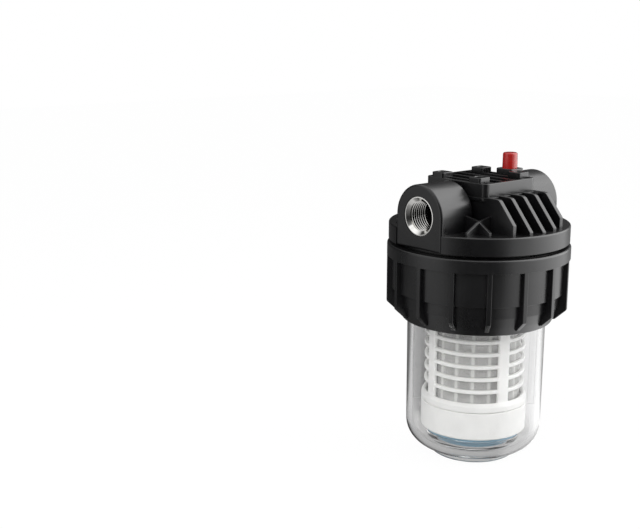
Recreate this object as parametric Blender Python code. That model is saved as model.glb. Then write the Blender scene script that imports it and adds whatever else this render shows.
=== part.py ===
"""Half-inch mesh water filter with a clear bowl, as a Blender script.

The filter is a three-piece housing. A moulded head with two threaded ports stands on top, a clear
bowl hangs under it, and a ribbed collar nut pulls the bowl up against the head. Inside the bowl
stands a washable mesh cartridge, and a red button on the inlet side lets the air out.

The bowl's foot stands on z = 0 and the housing's axis is Z. The ports lie along X: water comes in
at +X, falls around the cartridge, goes through the mesh and leaves from its centre at -X.
"""
import math

import bmesh
import bpy
from mathutils import Matrix, Vector

# All sizes are in millimetres, and MM turns them into metres.
MM = 0.001

# Clearances
GAP = 0.3                 # between pieces that seat on each other
RUN_GAP = 1.1             # between the collar's lip and the bowl it turns around

# How finely round shapes are cut
BIG_STEPS = 36
MID_STEPS = 24
SMALL_STEPS = 16
ARC_STEPS = 3
RING_SIDES = 6
WINDOW_STEPS = 4

# Clear bowl, from the foot up
WATER_GAP = 5.9           # between the cartridge's caps and the bowl's wall
BOWL_DRAFT = 0.5          # how much wider the wall is at the collar
BOWL_WALL = 3.7
BOWL_CORNER_R = 17.0
CORNER_STEPS = 5
FOOT_OUT = 0.4            # how far the foot ring stands outside the start of the corner
FOOT_W = 3.4
FOOT_H = 4.0
FLOOR_T = 4.0
FOOT_HOLLOW = 1.0         # how far the middle of the underside dips below the corner's end
SEAT_IN = 0.5             # the ring that carries the cartridge is this much inside its gasket
SEAT_W = 6.5
SEAT_H = 7.2
VANE_T = 2.0              # two upright vanes on the wall keep the cartridge central
VANE_IN = 1.0             # clearance between a vane and the cartridge's cap
VANE_UP = 25.0            # from the bowl's floor
VANE_TOP_DROP = 6.0       # from the bowl's flange down to the top of a vane
VANE_ANGLES = (132.0, -48.0)
NECK_STEP = 1.8           # from the wall out to the neck
NECK_H = 12.5
NECK_EDGE = 0.5
BOWL_FLANGE_PLAY = 1.3    # between the bowl's flange and the collar's bore
BOWL_FLANGE_T = 6.0
NECK_UNDER_TOP = 7.0      # from the cartridge's top down to the neck's rim

# Main seal, in a groove of the bowl's neck
SEAL_D = 3.0
SEAL_GROOVE_UP = 5.0      # from the flange's top to the groove

# Cartridge, measured over its two gaskets
CARTRIDGE_L = 125.5
GASKET_T = 2.5
LOWER_GASKET_IN = 3.5     # inside the cap's edge
LOWER_GASKET_W = 6.5
UPPER_GASKET_T = 3.0
UPPER_GASKET_OUT = 4.0    # outside the head's spigot
UPPER_GASKET_OPEN = 2.3   # its hole is this much wider than the riser
CAP_R = 35.0
CAP_WALL = 3.2
CAP_FLOOR_T = 2.8
CAP_EDGE_R = 1.6
LOWER_CAP_H = 18.5
UPPER_CAP_H = 8.4
UPPER_CAP_IN = 1.0        # smaller than the bottom cap
GASKET_LIP_W = 2.0
GASKET_LIP_H = 2.2
CAGE_IN = 2.0             # inside the caps' edge
CAGE_WALL = 2.3
CAGE_FOOT_H = 6.3
CAGE_HEAD_H = 5.6
CAGE_FLARE_H = 2.4
RING_H = 2.5
RING_COUNT = 9
CAGE_POSTS = 4
POST_W = 8.0
POST_ANGLE = -103.5
MESH_T = 0.3
CORE_WALL = 3.0
CORE_BARS = 18
CORE_BAR_W = 2.4
CORE_BAR_ANGLE = -139.4
CORE_HOOPS = 1
CORE_HOOP_H = 3.0

# Head
SKIRT_WALL = 5.0          # up to the root of the outside thread
SKIRT_H = 22.4
SKIRT_BORE_PLAY = 0.6     # between the bowl's neck and the skirt's bore
HEAD_RIM = 6.1            # how far the flange stands out over the skirt
HEAD_T = 11.4             # height of the round flange
HEAD_EDGE = 1.0
CHAMBER_STEP = 6.0        # from the skirt's bore in to the chamber
CHAMBER_WALL = 2.0        # kept around the chamber where the barrels' feet stand
CHAMBER_UP = 4.8          # from the flange's underside to the chamber's roof
CHAMBER_ROOF_T = 2.1      # between the chamber and the inserts' seats
RISER_R = 9.0
SPIGOT_WALL = 5.0
PORT_FACE_IN = 3.3        # how far the ports' faces are cut back from the flange's edge
BARREL_WALL = 6.3         # around the inserts
BARREL_L = 27.8
PASSAGE_R = 8.5
CORE_PIPE_WALL = 5.5
DROP_FROM_INSERT = 0.6    # from the insert to the slot that leads the inlet water down
DROP_L = 14.0
DROP_W = 14.0
DROP_CORNER_R = 3.0

# Mounting plate on top of the head
PLATE_X = 47.0
PLATE_Y = 52.0
PLATE_UP = 19.65          # from the ports' axis to the plate's top
PLATE_CORNER_R = 4.0
LEDGE_OUT = 1.4
LEDGE_T = 2.0
LEDGE_DOWN = 0.4          # the fins stand this much above the ledge
PLATE_RIM = 2.4
PLATE_RIBS = 4
PLATE_RIB_PITCH = 10.0
PLATE_RIB_T = 3.0
POCKET_DEPTH = 6.5
BOSS_W = 10.0
BOSS_UP = 3.2
BOSS_CORNER_R = 1.6
BOSS_IN_X = 5.2           # from the plate's edges to the bosses' middles
BOSS_IN_Y = 10.25
SCREW_HOLE_R = 2.8
SCREW_HOLE_DEPTH = 12.0

# Ribs between the ports
FIN_T = 3.0
FIN_PITCH = 11.0
FIN_COUNT = 5
FIN_UP = 11.6             # from the ports' axis to the fins' level top
FIN_KNEE_OUT = 10.5       # how far the fins' level tops reach past the plate
FIN_FOOT_IN = 4.6         # inside the flange's edge
FIN_FOOT_UP = 0.6         # height of the fins' upright ends
FIN_KNEE_R = 3.0
FIN_TRIM_IN = 4.1
BRACE_T = 2.2
BRACE_OUT = 10.3          # from the barrel to the brace
BRACE_HIGH_UP = 10.1      # above the flange's top, beside the barrel
BRACE_MID_UP = 8.1
BRACE_LOW_UP = 2.0
BRACE_END_IN = 6.6

# Threaded metal inserts in the ports, with a G 1/2 bore
INSERT_L = 16.0
INSERT_BORE_R = 9.3
INSERT_WALL = 4.1
INSERT_RIM_IN = 1.2       # the rim at the face is this much smaller than the body
INSERT_RIM_L = 2.2
INSERT_MOUTH_OUT = 1.7    # the mouth is this much wider than the bore
INSERT_MOUTH_L = 2.2
INSERT_SET_BACK = 0.2
INSERT_SEAL_D = 1.5
INSERT_SEAL_FROM_END = 3.6

# Air release button over the inlet passage
RELIEF_FROM_DROP = 4.3    # from the slot's near side to the valve's axis
RELIEF_BOSS_WALL = 1.35   # around the button's bore
RELIEF_BOSS_CORNER_R = 2.0
RELIEF_BOSS_UP = 3.1      # over the barrel's top
BUTTON_PLAY = 0.8         # from the spring's middle line to the inside of the button
BUTTON_TAPER = 0.2
BUTTON_UP = 10.2          # above the boss
BUTTON_IN = 2.6           # how far the button reaches into the boss at rest
BUTTON_EDGE_R = 1.2
BUTTON_WALL = 1.05
BUTTON_CROWN_T = 6.8
BUTTON_TRAVEL = 3.0       # until the button meets the gland bush
GLAND_DEPTH = 2.5
GLAND_BUSH_T = 1.2
STEM_R = 2.0
STEM_IN_CROWN = 3.0
STEM_TAIL = 1.2           # stem below the clip
STEM_SEAL_D = 1.3
VALVE_SEAT_UP = 1.0       # from the passage's top to the valve's seat
VALVE_PLAY = 0.5          # around the valve's disc
VALVE_LAP = 1.7           # how far the disc reaches past the stem
VALVE_DISC_T = 1.5
CLIP_LAP = 1.3
CLIP_T = 0.8
CLIP_GROOVE_DEPTH = 0.6
CLIP_OPENING = 70.0       # degrees
SPRING_PLAY = 1.1         # from the stem to the wire's middle line
SPRING_WIRE_D = 0.5
SPRING_TURNS = 6
SPRING_STEPS = 8

# Collar nut
COLLAR_WALL = 5.2         # outside the bore of the thread
COLLAR_GAP = 1.9          # between the collar's rim and the head
COLLAR_PLAY = 1.8         # room for the thread between the skirt and the collar
COLLAR_EDGE_R = 1.4
BAND_H = 8.7
RECESS_1 = 3.0            # how far the wall steps in below the band
RECESS_2 = 5.0            # and below the second step
STEP_1_DROP = 1.7         # from the inner shoulder down to the first step
STEP_2_DROP = 9.0
CONE_IN = 7.7             # from the band's outside to the end of the cone
CONE_DROP = 15.5
LIP_WALL = 2.4
COLLAR_DROP = 21.4        # from the inner shoulder to the collar's bottom
COLLAR_LIP_EDGE_R = 1.6
SHOULDER_T = 4.0
CONE_WALL = 2.8
LIP_H = 3.0
COLLAR_RIBS = 16
COLLAR_RIB_W = 3.0
COLLAR_RIB_ANGLE = 4.6
COLLAR_RIB_BEND_DROP = 11.4
COLLAR_RIB_END_DROP = 18.0
COLLAR_RIB_END_IN = 7.2
RIB_ROOT = 1.0            # how deep a rib is rooted in the wall
SLIP_RING_T = 1.2

# Radii that follow from the sizes above, from the axis outwards
STEM_HOLE_R = STEM_R + GAP
GLAND_R = STEM_HOLE_R + STEM_SEAL_D + GAP
VALVE_DISC_R = STEM_R + VALVE_LAP
VALVE_POCKET_R = VALVE_DISC_R + VALVE_PLAY
CLIP_R = STEM_R + CLIP_LAP
CLIP_GROOVE_R = STEM_R - CLIP_GROOVE_DEPTH
SPRING_R = STEM_R + SPRING_PLAY
BUTTON_R = SPRING_R + BUTTON_PLAY + BUTTON_WALL
BUTTON_BORE_R = BUTTON_R + GAP
RELIEF_BOSS_W = 2 * (BUTTON_BORE_R + RELIEF_BOSS_WALL)
SPIGOT_R = RISER_R + SPIGOT_WALL
UPPER_GASKET_R = SPIGOT_R + UPPER_GASKET_OUT
UPPER_GASKET_HOLE_R = RISER_R + UPPER_GASKET_OPEN
UPPER_CAP_HOLE_R = UPPER_GASKET_HOLE_R - GAP
UPPER_CAP_R = CAP_R - UPPER_CAP_IN
LOWER_GASKET_R = CAP_R - LOWER_GASKET_IN
LOWER_GASKET_HOLE_R = LOWER_GASKET_R - LOWER_GASKET_W
SEAT_R = LOWER_GASKET_R - SEAT_IN
CAGE_R = CAP_R - CAGE_IN
CAGE_FACET = (360.0 / CAGE_POSTS - math.degrees(POST_W / CAGE_R)) / WINDOW_STEPS
MESH_R = CAGE_R * math.cos(math.radians(CAGE_FACET / 2)) - CAGE_WALL - GAP
CORE_R = (MESH_R - MESH_T) * math.cos(math.pi / MID_STEPS) - GAP
BOWL_BORE_R = CAP_R + WATER_GAP
BOWL_R = BOWL_BORE_R + BOWL_WALL
FOOT_R = BOWL_R - BOWL_CORNER_R + FOOT_OUT
NECK_R = BOWL_R + NECK_STEP
SKIRT_BORE_R = NECK_R + SKIRT_BORE_PLAY
SEAL_GROOVE_R = SKIRT_BORE_R - GAP - SEAL_D - GAP
SKIRT_R = SKIRT_BORE_R + SKIRT_WALL
CHAMBER_R = SKIRT_BORE_R - CHAMBER_STEP
HEAD_R = SKIRT_R + HEAD_RIM
COLLAR_BORE_R = SKIRT_R + COLLAR_PLAY
COLLAR_R = COLLAR_BORE_R + COLLAR_WALL
COLLAR_LIP_BORE_R = BOWL_R + BOWL_DRAFT + RUN_GAP
BOWL_FLANGE_R = COLLAR_BORE_R - BOWL_FLANGE_PLAY
SLIP_RING_R = BOWL_FLANGE_R - GAP

# Places along and across the head
INSERT_BODY_R = INSERT_BORE_R + INSERT_WALL
INSERT_RIM_R = INSERT_BODY_R - INSERT_RIM_IN
INSERT_MOUTH_R = INSERT_BORE_R + INSERT_MOUTH_OUT
BARREL_R = INSERT_BODY_R + BARREL_WALL
CORE_PIPE_R = PASSAGE_R + CORE_PIPE_WALL
PORT_FACE_X = HEAD_R - PORT_FACE_IN
BARREL_IN_X = PORT_FACE_X - BARREL_L
INSERT_OUT_X = PORT_FACE_X - INSERT_SET_BACK
INSERT_IN_X = INSERT_OUT_X - INSERT_L
DROP_IN_X = INSERT_IN_X - DROP_FROM_INSERT - DROP_L
RELIEF_X = DROP_IN_X + RELIEF_FROM_DROP
BOSS_X = PLATE_X / 2 - BOSS_IN_X
BOSS_Y = PLATE_Y / 2 - BOSS_IN_Y
FIN_KNEE_Y = PLATE_Y / 2 + FIN_KNEE_OUT
FIN_FOOT_Y = HEAD_R - FIN_FOOT_IN
FIN_TRIM_R = HEAD_R - FIN_TRIM_IN
BRACE_END_R = HEAD_R - BRACE_END_IN
BRACE_Y = BARREL_R + BRACE_OUT

# Heights
FLOOR_Z = FOOT_H + FLOOR_T
VANE_Z = FLOOR_Z + VANE_UP
SEAT_Z = FLOOR_Z + SEAT_H
LOWER_GASKET_Z = SEAT_Z + GAP
LOWER_CAP_Z = LOWER_GASKET_Z + GASKET_T + GAP
CAGE_Z = LOWER_CAP_Z + LOWER_CAP_H + GAP
CARTRIDGE_TOP_Z = LOWER_GASKET_Z + CARTRIDGE_L
UPPER_GASKET_Z = CARTRIDGE_TOP_Z - UPPER_GASKET_T
UPPER_CAP_TOP_Z = UPPER_GASKET_Z - GAP
UPPER_CAP_Z = UPPER_CAP_TOP_Z - UPPER_CAP_H
CAGE_TOP_Z = UPPER_CAP_Z - GAP
WINDOW_Z = CAGE_Z + CAGE_FOOT_H
WINDOW_TOP_Z = CAGE_TOP_Z - CAGE_HEAD_H
RING_PITCH = (WINDOW_TOP_Z - WINDOW_Z + RING_H) / (RING_COUNT + 1)
CORE_Z = LOWER_CAP_Z + CAP_FLOOR_T + GAP
CORE_TOP_Z = UPPER_CAP_TOP_Z - CAP_FLOOR_T - GAP
NECK_Z = CARTRIDGE_TOP_Z - NECK_UNDER_TOP
BOWL_FLANGE_TOP_Z = NECK_Z - NECK_H
BOWL_FLANGE_Z = BOWL_FLANGE_TOP_Z - BOWL_FLANGE_T
SEAL_GROOVE_Z = BOWL_FLANGE_TOP_Z + SEAL_GROOVE_UP
SKIRT_Z = BOWL_FLANGE_TOP_Z + GAP
HEAD_Z = SKIRT_Z + SKIRT_H
HEAD_TOP_Z = HEAD_Z + HEAD_T
CHAMBER_Z = HEAD_Z + CHAMBER_UP
SPIGOT_Z = CARTRIDGE_TOP_Z + GAP
PORT_Z = CHAMBER_Z + CHAMBER_ROOF_T + INSERT_BODY_R + GAP
PLATE_TOP_Z = PORT_Z + PLATE_UP
FIN_TOP_Z = PORT_Z + FIN_UP
BOSS_TOP_Z = PLATE_TOP_Z + BOSS_UP
RELIEF_TOP_Z = PORT_Z + BARREL_R + RELIEF_BOSS_UP
BUTTON_Z = RELIEF_TOP_Z - BUTTON_IN
BUTTON_TOP_Z = RELIEF_TOP_Z + BUTTON_UP
CROWN_Z = BUTTON_TOP_Z - BUTTON_CROWN_T
GLAND_BUSH_TOP_Z = BUTTON_Z - BUTTON_TRAVEL - GAP
GLAND_BUSH_Z = GLAND_BUSH_TOP_Z - GLAND_BUSH_T
RELIEF_FLOOR_Z = GLAND_BUSH_Z - GAP
VALVE_SEAT_Z = PORT_Z + PASSAGE_R + VALVE_SEAT_UP
VALVE_DISC_Z = VALVE_SEAT_Z - GAP - VALVE_DISC_T
CLIP_Z = VALVE_DISC_Z - GAP - CLIP_T
STEM_Z = CLIP_Z - STEM_TAIL
COLLAR_TOP_Z = HEAD_Z - COLLAR_GAP
SLIP_RING_Z = BOWL_FLANGE_Z - GAP - SLIP_RING_T
SHOULDER_Z = SLIP_RING_Z - GAP
COLLAR_Z = SHOULDER_Z - COLLAR_DROP

BLACK = ("black_polypropylene", (0.028, 0.028, 0.030), 0.38, 0.0)
CLEAR = ("clear_bowl", (0.86, 0.88, 0.88), 0.05, 0.0)
WHITE = ("white_polypropylene", (0.84, 0.84, 0.83), 0.42, 0.0)
GREY_MESH = ("woven_mesh", (0.52, 0.52, 0.53), 0.5, 0.3)
NICKEL = ("nickel_plated_brass", (0.68, 0.67, 0.64), 0.28, 1.0)
STEEL = ("spring_steel", (0.60, 0.60, 0.61), 0.3, 1.0)
RUBBER = ("black_rubber", (0.02, 0.02, 0.022), 0.7, 0.0)
BLUE = ("blue_gasket", (0.18, 0.42, 0.55), 0.45, 0.0)
RED = ("red_button", (0.72, 0.03, 0.02), 0.3, 0.0)


def material(finish):
    """One Principled material for a finish, made once and shared."""
    name, colour, roughness, metallic = finish
    found = bpy.data.materials.get(name)
    if found:
        return found
    made = bpy.data.materials.new(name)
    made.use_nodes = True
    shader = made.node_tree.nodes["Principled BSDF"]
    shader.inputs["Base Color"].default_value = (*colour, 1.0)
    shader.inputs["Roughness"].default_value = roughness
    shader.inputs["Metallic"].default_value = metallic
    return made


def outline(*corners, steps=ARC_STEPS):
    """A closed outline from corners (a, b) or (a, b, radius), with the given ones rounded."""
    points = []
    count = len(corners)
    for index, corner in enumerate(corners):
        here = Vector(corner[:2])
        radius = corner[2] if len(corner) > 2 else 0.0
        if radius <= 0.0:
            points.append(tuple(here))
            continue
        to_last = Vector(corners[index - 1][:2]) - here
        to_next = Vector(corners[(index + 1) % count][:2]) - here
        half = to_last.angle(to_next) / 2
        room = []
        for side, neighbour in ((to_last, corners[index - 1]), (to_next, corners[(index + 1) % count])):
            room.append(side.length * (0.49 if len(neighbour) > 2 else 0.98))
        reach = min(radius / math.tan(half), *room)
        bisector = (to_last.normalized() + to_next.normalized()).normalized()
        centre = here + bisector * (reach / math.cos(half))
        start = here + to_last.normalized() * reach - centre
        end = here + to_next.normalized() * reach - centre
        turn = start.angle_signed(end)
        for step in range(steps + 1):
            angle = -turn * step / steps
            spoke = Matrix.Rotation(angle, 2) @ start
            points.append(tuple(centre + spoke))
    return points


def arc(middle_r, middle_z, radius, start, end, steps=CORNER_STEPS):
    """Points along an arc of a profile, from one angle to another."""
    angles = [start + (end - start) * step / steps for step in range(steps + 1)]
    return [(middle_r + radius * math.cos(angle), middle_z + radius * math.sin(angle))
            for angle in angles]


def rectangle(width, depth, corner_radius=0.0, centre=(0.0, 0.0)):
    """A rounded rectangle around a centre."""
    x, y = centre
    w, d, r = width / 2, depth / 2, corner_radius
    return outline((x - w, y - d, r), (x + w, y - d, r), (x + w, y + d, r), (x - w, y + d, r))


def add_object(name, bm, finish):
    """Close a bmesh into a named object with its material and smooth round faces."""
    bmesh.ops.remove_doubles(bm, verts=bm.verts, dist=1e-7)
    bmesh.ops.recalc_face_normals(bm, faces=bm.faces)
    mesh = bpy.data.meshes.new(name)
    bm.to_mesh(mesh)
    bm.free()
    made = bpy.data.objects.new(name, mesh)
    bpy.context.scene.collection.objects.link(made)
    mesh.materials.append(material(finish))
    smooth(made)
    return made


def smooth(piece):
    """Shade round faces smooth and keep the edges between flat ones."""
    piece.data.shade_smooth()
    piece.data.set_sharp_from_angle(angle=math.radians(32))


def turned(name, profile, finish, steps=MID_STEPS, place=Matrix.Identity(4)):
    """Turn a closed profile of (radius, height) about Z, then put it in its place."""
    bm = bmesh.new()
    points = [bm.verts.new((radius * MM, 0.0, height * MM)) for radius, height in profile]
    edges = []
    for index, point in enumerate(points):
        other = points[(index + 1) % len(points)]
        on_axis = profile[index][0] == 0.0 and profile[(index + 1) % len(points)][0] == 0.0
        if not on_axis:
            edges.append(bm.edges.new((point, other)))
    bmesh.ops.spin(bm, geom=points + edges, axis=(0, 0, 1), cent=(0, 0, 0), angle=math.tau,
                   steps=steps, use_merge=True)
    bmesh.ops.transform(bm, matrix=place, verts=bm.verts)
    return add_object(name, bm, finish)


def extruded(name, shape, start, end, finish, place=Matrix.Identity(4)):
    """Extrude a flat outline in XY from one height to another, then put it in its place."""
    bm = bmesh.new()
    face = bm.faces.new([bm.verts.new((x * MM, y * MM, start * MM)) for x, y in shape])
    lifted = bmesh.ops.extrude_face_region(bm, geom=[face])
    moved = [item for item in lifted["geom"] if isinstance(item, bmesh.types.BMVert)]
    bmesh.ops.translate(bm, vec=(0, 0, (end - start) * MM), verts=moved)
    bmesh.ops.transform(bm, matrix=place, verts=bm.verts)
    return add_object(name, bm, finish)


def joined(name, pieces):
    """Several separate solids as one object."""
    bm = bmesh.new()
    for piece in pieces:
        bm.from_mesh(piece.data)
        bpy.data.objects.remove(piece)
    mesh = bpy.data.meshes.new(name)
    bm.to_mesh(mesh)
    bm.free()
    made = bpy.data.objects.new(name, mesh)
    bpy.context.scene.collection.objects.link(made)
    return made


def tidy(mesh):
    """Merge doubled points and drop the ones that a boolean leaves on straight edges."""
    bm = bmesh.new()
    bm.from_mesh(mesh)
    bmesh.ops.remove_doubles(bm, verts=bm.verts, dist=2e-6)
    bmesh.ops.dissolve_limit(bm, angle_limit=math.radians(0.2), use_dissolve_boundaries=False,
                             verts=bm.verts, edges=bm.edges)
    bm.to_mesh(mesh)
    bm.free()


def combine(target, tools, operation):
    """Fuse, cut or trim one object with others, one after another, and drop the tools."""
    kept = list(target.data.materials)
    for tool in tools:
        change = target.modifiers.new(tool.name, "BOOLEAN")
        change.object = tool
        change.operation = operation
        change.solver = "EXACT"
    shown = target.evaluated_get(bpy.context.evaluated_depsgraph_get())
    mesh = bpy.data.meshes.new_from_object(shown)
    tidy(mesh)
    target.modifiers.clear()
    target.data = mesh
    for tool in tools:
        bpy.data.objects.remove(tool)
    mesh.materials.clear()
    for slot in kept:
        mesh.materials.append(slot)
    smooth(target)
    return target


def fuse(target, *tools):
    return combine(target, tools, "UNION")


def cut(target, *tools):
    return combine(target, tools, "DIFFERENCE")


def trim(target, *tools):
    return combine(target, tools, "INTERSECT")


def around_z(degrees):
    return Matrix.Rotation(math.radians(degrees), 4, "Z")


def at(x=0.0, y=0.0, z=0.0):
    return Matrix.Translation((x * MM, y * MM, z * MM))


def along_x(side):
    """Turn a piece made about Z so that its +Z points out of the port on that side."""
    return at(z=PORT_Z) @ Matrix.Rotation(side * math.pi / 2, 4, "Y")


def upright_y(x):
    """Stand an outline drawn in (y, z) across X, centred on x."""
    return at(x) @ Matrix(((0, 0, 1, 0), (1, 0, 0, 0), (0, 1, 0, 0), (0, 0, 0, 1)))


def upright_x(y):
    """Stand an outline drawn in (x, z) across Y, centred on y."""
    return at(y=y) @ Matrix(((1, 0, 0, 0), (0, 0, -1, 0), (0, 1, 0, 0), (0, 0, 0, 1)))


def spread(count, pitch):
    """Places for a row of evenly spaced features, centred on zero."""
    return [pitch * (index - (count - 1) / 2) for index in range(count)]


def cylinder(name, radius, low, high, finish, steps=MID_STEPS, place=Matrix.Identity(4)):
    return turned(name, [(0.0, low), (radius, low), (radius, high), (0.0, high)],
                  finish, steps, place)


def torus(name, ring_radius, section_d, height, finish, steps=BIG_STEPS, place=Matrix.Identity(4)):
    section = []
    for side in range(RING_SIDES):
        angle = math.tau * side / RING_SIDES
        section.append((ring_radius + section_d / 2 * math.cos(angle),
                        height + section_d / 2 * math.sin(angle)))
    return turned(name, section, finish, steps, place)


def bowl():
    """The clear bowl: a tapered cup with a foot ring, a seat ring, a flange and a grooved neck."""
    top_r = BOWL_R + BOWL_DRAFT
    foot_in = FOOT_R - FOOT_W
    hollow_z = FOOT_H - FOOT_HOLLOW
    groove_top = SEAL_GROOVE_Z + SEAL_D + 2 * GAP
    corner_in = BOWL_CORNER_R - BOWL_WALL
    corner_mid = BOWL_R - BOWL_CORNER_R
    foot_angle = -math.acos(FOOT_OUT / BOWL_CORNER_R)
    seat_angle = -math.acos(max(0.0, SEAT_R - corner_mid) / corner_in)
    profile = [
        (0.0, hollow_z), (foot_in, hollow_z), (foot_in, 0.0), (FOOT_R, 0.0),
        *arc(corner_mid, FOOT_H + BOWL_CORNER_R, BOWL_CORNER_R, foot_angle, 0.0),
        (top_r, BOWL_FLANGE_Z), (BOWL_FLANGE_R, BOWL_FLANGE_Z),
        (BOWL_FLANGE_R, BOWL_FLANGE_TOP_Z), (NECK_R, BOWL_FLANGE_TOP_Z),
        (NECK_R, SEAL_GROOVE_Z), (SEAL_GROOVE_R, SEAL_GROOVE_Z),
        (SEAL_GROOVE_R, groove_top), (NECK_R, groove_top), (NECK_R, NECK_Z - NECK_EDGE),
        (NECK_R - NECK_EDGE, NECK_Z), (BOWL_BORE_R + BOWL_DRAFT, NECK_Z),
        *arc(corner_mid, FLOOR_Z + corner_in, corner_in, 0.0, seat_angle), (SEAT_R, SEAT_Z),
        (SEAT_R - SEAT_W, SEAT_Z), (SEAT_R - SEAT_W, FLOOR_Z), (0.0, FLOOR_Z)]
    cup = turned("bowl", profile, CLEAR, BIG_STEPS)
    vanes = []
    vane_in_r = CAP_R + VANE_IN
    vane_top = BOWL_FLANGE_Z - VANE_TOP_DROP
    shape = [(vane_in_r, VANE_Z), (BOWL_BORE_R + RIB_ROOT, VANE_Z),
             (BOWL_BORE_R + RIB_ROOT, vane_top), (vane_in_r, vane_top)]
    for angle in VANE_ANGLES:
        vanes.append(extruded("vane", shape, -VANE_T / 2, VANE_T / 2, CLEAR,
                              around_z(angle) @ upright_x(0.0)))
    return fuse(cup, joined("vanes", vanes))


def main_seal():
    groove_mid = SEAL_GROOVE_Z + GAP + SEAL_D / 2
    ring_r = SKIRT_BORE_R - GAP - SEAL_D / 2
    return torus("bowl_o_ring", ring_r, SEAL_D, groove_mid, RUBBER)


def slip_ring():
    """A flat white ring that lets the collar turn under the bowl's flange."""
    return flat_ring("slip_ring", COLLAR_LIP_BORE_R, SLIP_RING_R, SLIP_RING_Z, SLIP_RING_T, WHITE,
                     BIG_STEPS)


def collar_nut():
    """The collar nut: a stepped, tapering skirt with sixteen upright grip ribs."""
    step_1_z = SHOULDER_Z - STEP_1_DROP
    step_2_z = SHOULDER_Z - STEP_2_DROP
    cone_z = SHOULDER_Z - CONE_DROP
    under_z = SHOULDER_Z - SHOULDER_T
    wall_1_r = COLLAR_R - RECESS_1
    wall_2_r = COLLAR_R - RECESS_2
    cone_r = COLLAR_R - CONE_IN
    lip_r = COLLAR_LIP_BORE_R + LIP_WALL
    rib_end_r = COLLAR_R - COLLAR_RIB_END_IN
    hollow_r = wall_2_r - CONE_WALL
    profile = outline(
        (COLLAR_BORE_R, SHOULDER_Z), (COLLAR_BORE_R, COLLAR_TOP_Z),
        (COLLAR_R, COLLAR_TOP_Z, COLLAR_EDGE_R), (COLLAR_R, COLLAR_TOP_Z - BAND_H),
        (wall_1_r, COLLAR_TOP_Z - BAND_H), (wall_1_r, step_1_z), (wall_2_r, step_1_z),
        (wall_2_r, step_2_z), (cone_r, cone_z), (lip_r, COLLAR_Z, COLLAR_LIP_EDGE_R),
        (COLLAR_LIP_BORE_R, COLLAR_Z), (COLLAR_LIP_BORE_R, COLLAR_Z + LIP_H),
        (hollow_r, step_2_z), (hollow_r, under_z), (COLLAR_LIP_BORE_R, under_z),
        (COLLAR_LIP_BORE_R, SHOULDER_Z))
    nut = turned("collar_nut", profile, BLACK, BIG_STEPS)
    bend_z = SHOULDER_Z - COLLAR_RIB_BEND_DROP
    end_z = SHOULDER_Z - COLLAR_RIB_END_DROP
    high_z = COLLAR_TOP_Z - BAND_H + RIB_ROOT
    shape = [(wall_1_r - RIB_ROOT, high_z), (wall_1_r - RIB_ROOT, step_1_z + RIB_ROOT),
             (wall_2_r - RIB_ROOT, step_1_z - RIB_ROOT), (wall_2_r - RIB_ROOT, step_2_z),
             (cone_r - RIB_ROOT, cone_z), (rib_end_r - 2 * RIB_ROOT, end_z),
             (rib_end_r, end_z), (COLLAR_R, bend_z), (COLLAR_R, high_z)]
    ribs = []
    for index in range(COLLAR_RIBS):
        turn = around_z(COLLAR_RIB_ANGLE + 360.0 * index / COLLAR_RIBS)
        ribs.append(extruded("grip_rib", shape, -COLLAR_RIB_W / 2, COLLAR_RIB_W / 2, BLACK,
                             turn @ upright_x(0.0)))
    return fuse(nut, joined("grip_ribs", ribs))


def port_barrel(side):
    """One port's barrel: round on top, with straight sides down into the flange."""
    half_turn = [(BARREL_R * math.cos(angle), PORT_Z + BARREL_R * math.sin(angle))
                 for angle in [math.pi * step / 24 for step in range(25)]]
    root_z = CHAMBER_Z + RIB_ROOT
    shape = half_turn + [(-BARREL_R, root_z), (BARREL_R, root_z)]
    low, high = sorted((side * BARREL_IN_X, side * HEAD_R))
    return extruded("barrel", shape, low, high, BLACK, upright_y(0.0))


def barrel_foot(side):
    """The barrel's straight sides carried on down the flange's edge, outside the chamber."""
    inner = CHAMBER_R + CHAMBER_WALL
    shape = rectangle(HEAD_R - inner, 2 * BARREL_R, 0.0, (side * (HEAD_R + inner) / 2, 0.0))
    return extruded("barrel_foot", shape, HEAD_Z + RIB_ROOT, CHAMBER_Z + 2 * RIB_ROOT, BLACK)


def core_pipe():
    """The narrower pipe between the two barrels."""
    half_turn = [(CORE_PIPE_R * math.cos(angle), PORT_Z + CORE_PIPE_R * math.sin(angle))
                 for angle in [math.pi * step / 16 for step in range(17)]]
    shape = half_turn + [(-CORE_PIPE_R, HEAD_TOP_Z - RIB_ROOT), (CORE_PIPE_R, HEAD_TOP_Z - RIB_ROOT)]
    reach = BARREL_IN_X + RIB_ROOT
    return extruded("core_pipe", shape, -reach, reach, BLACK, upright_y(0.0))


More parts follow.
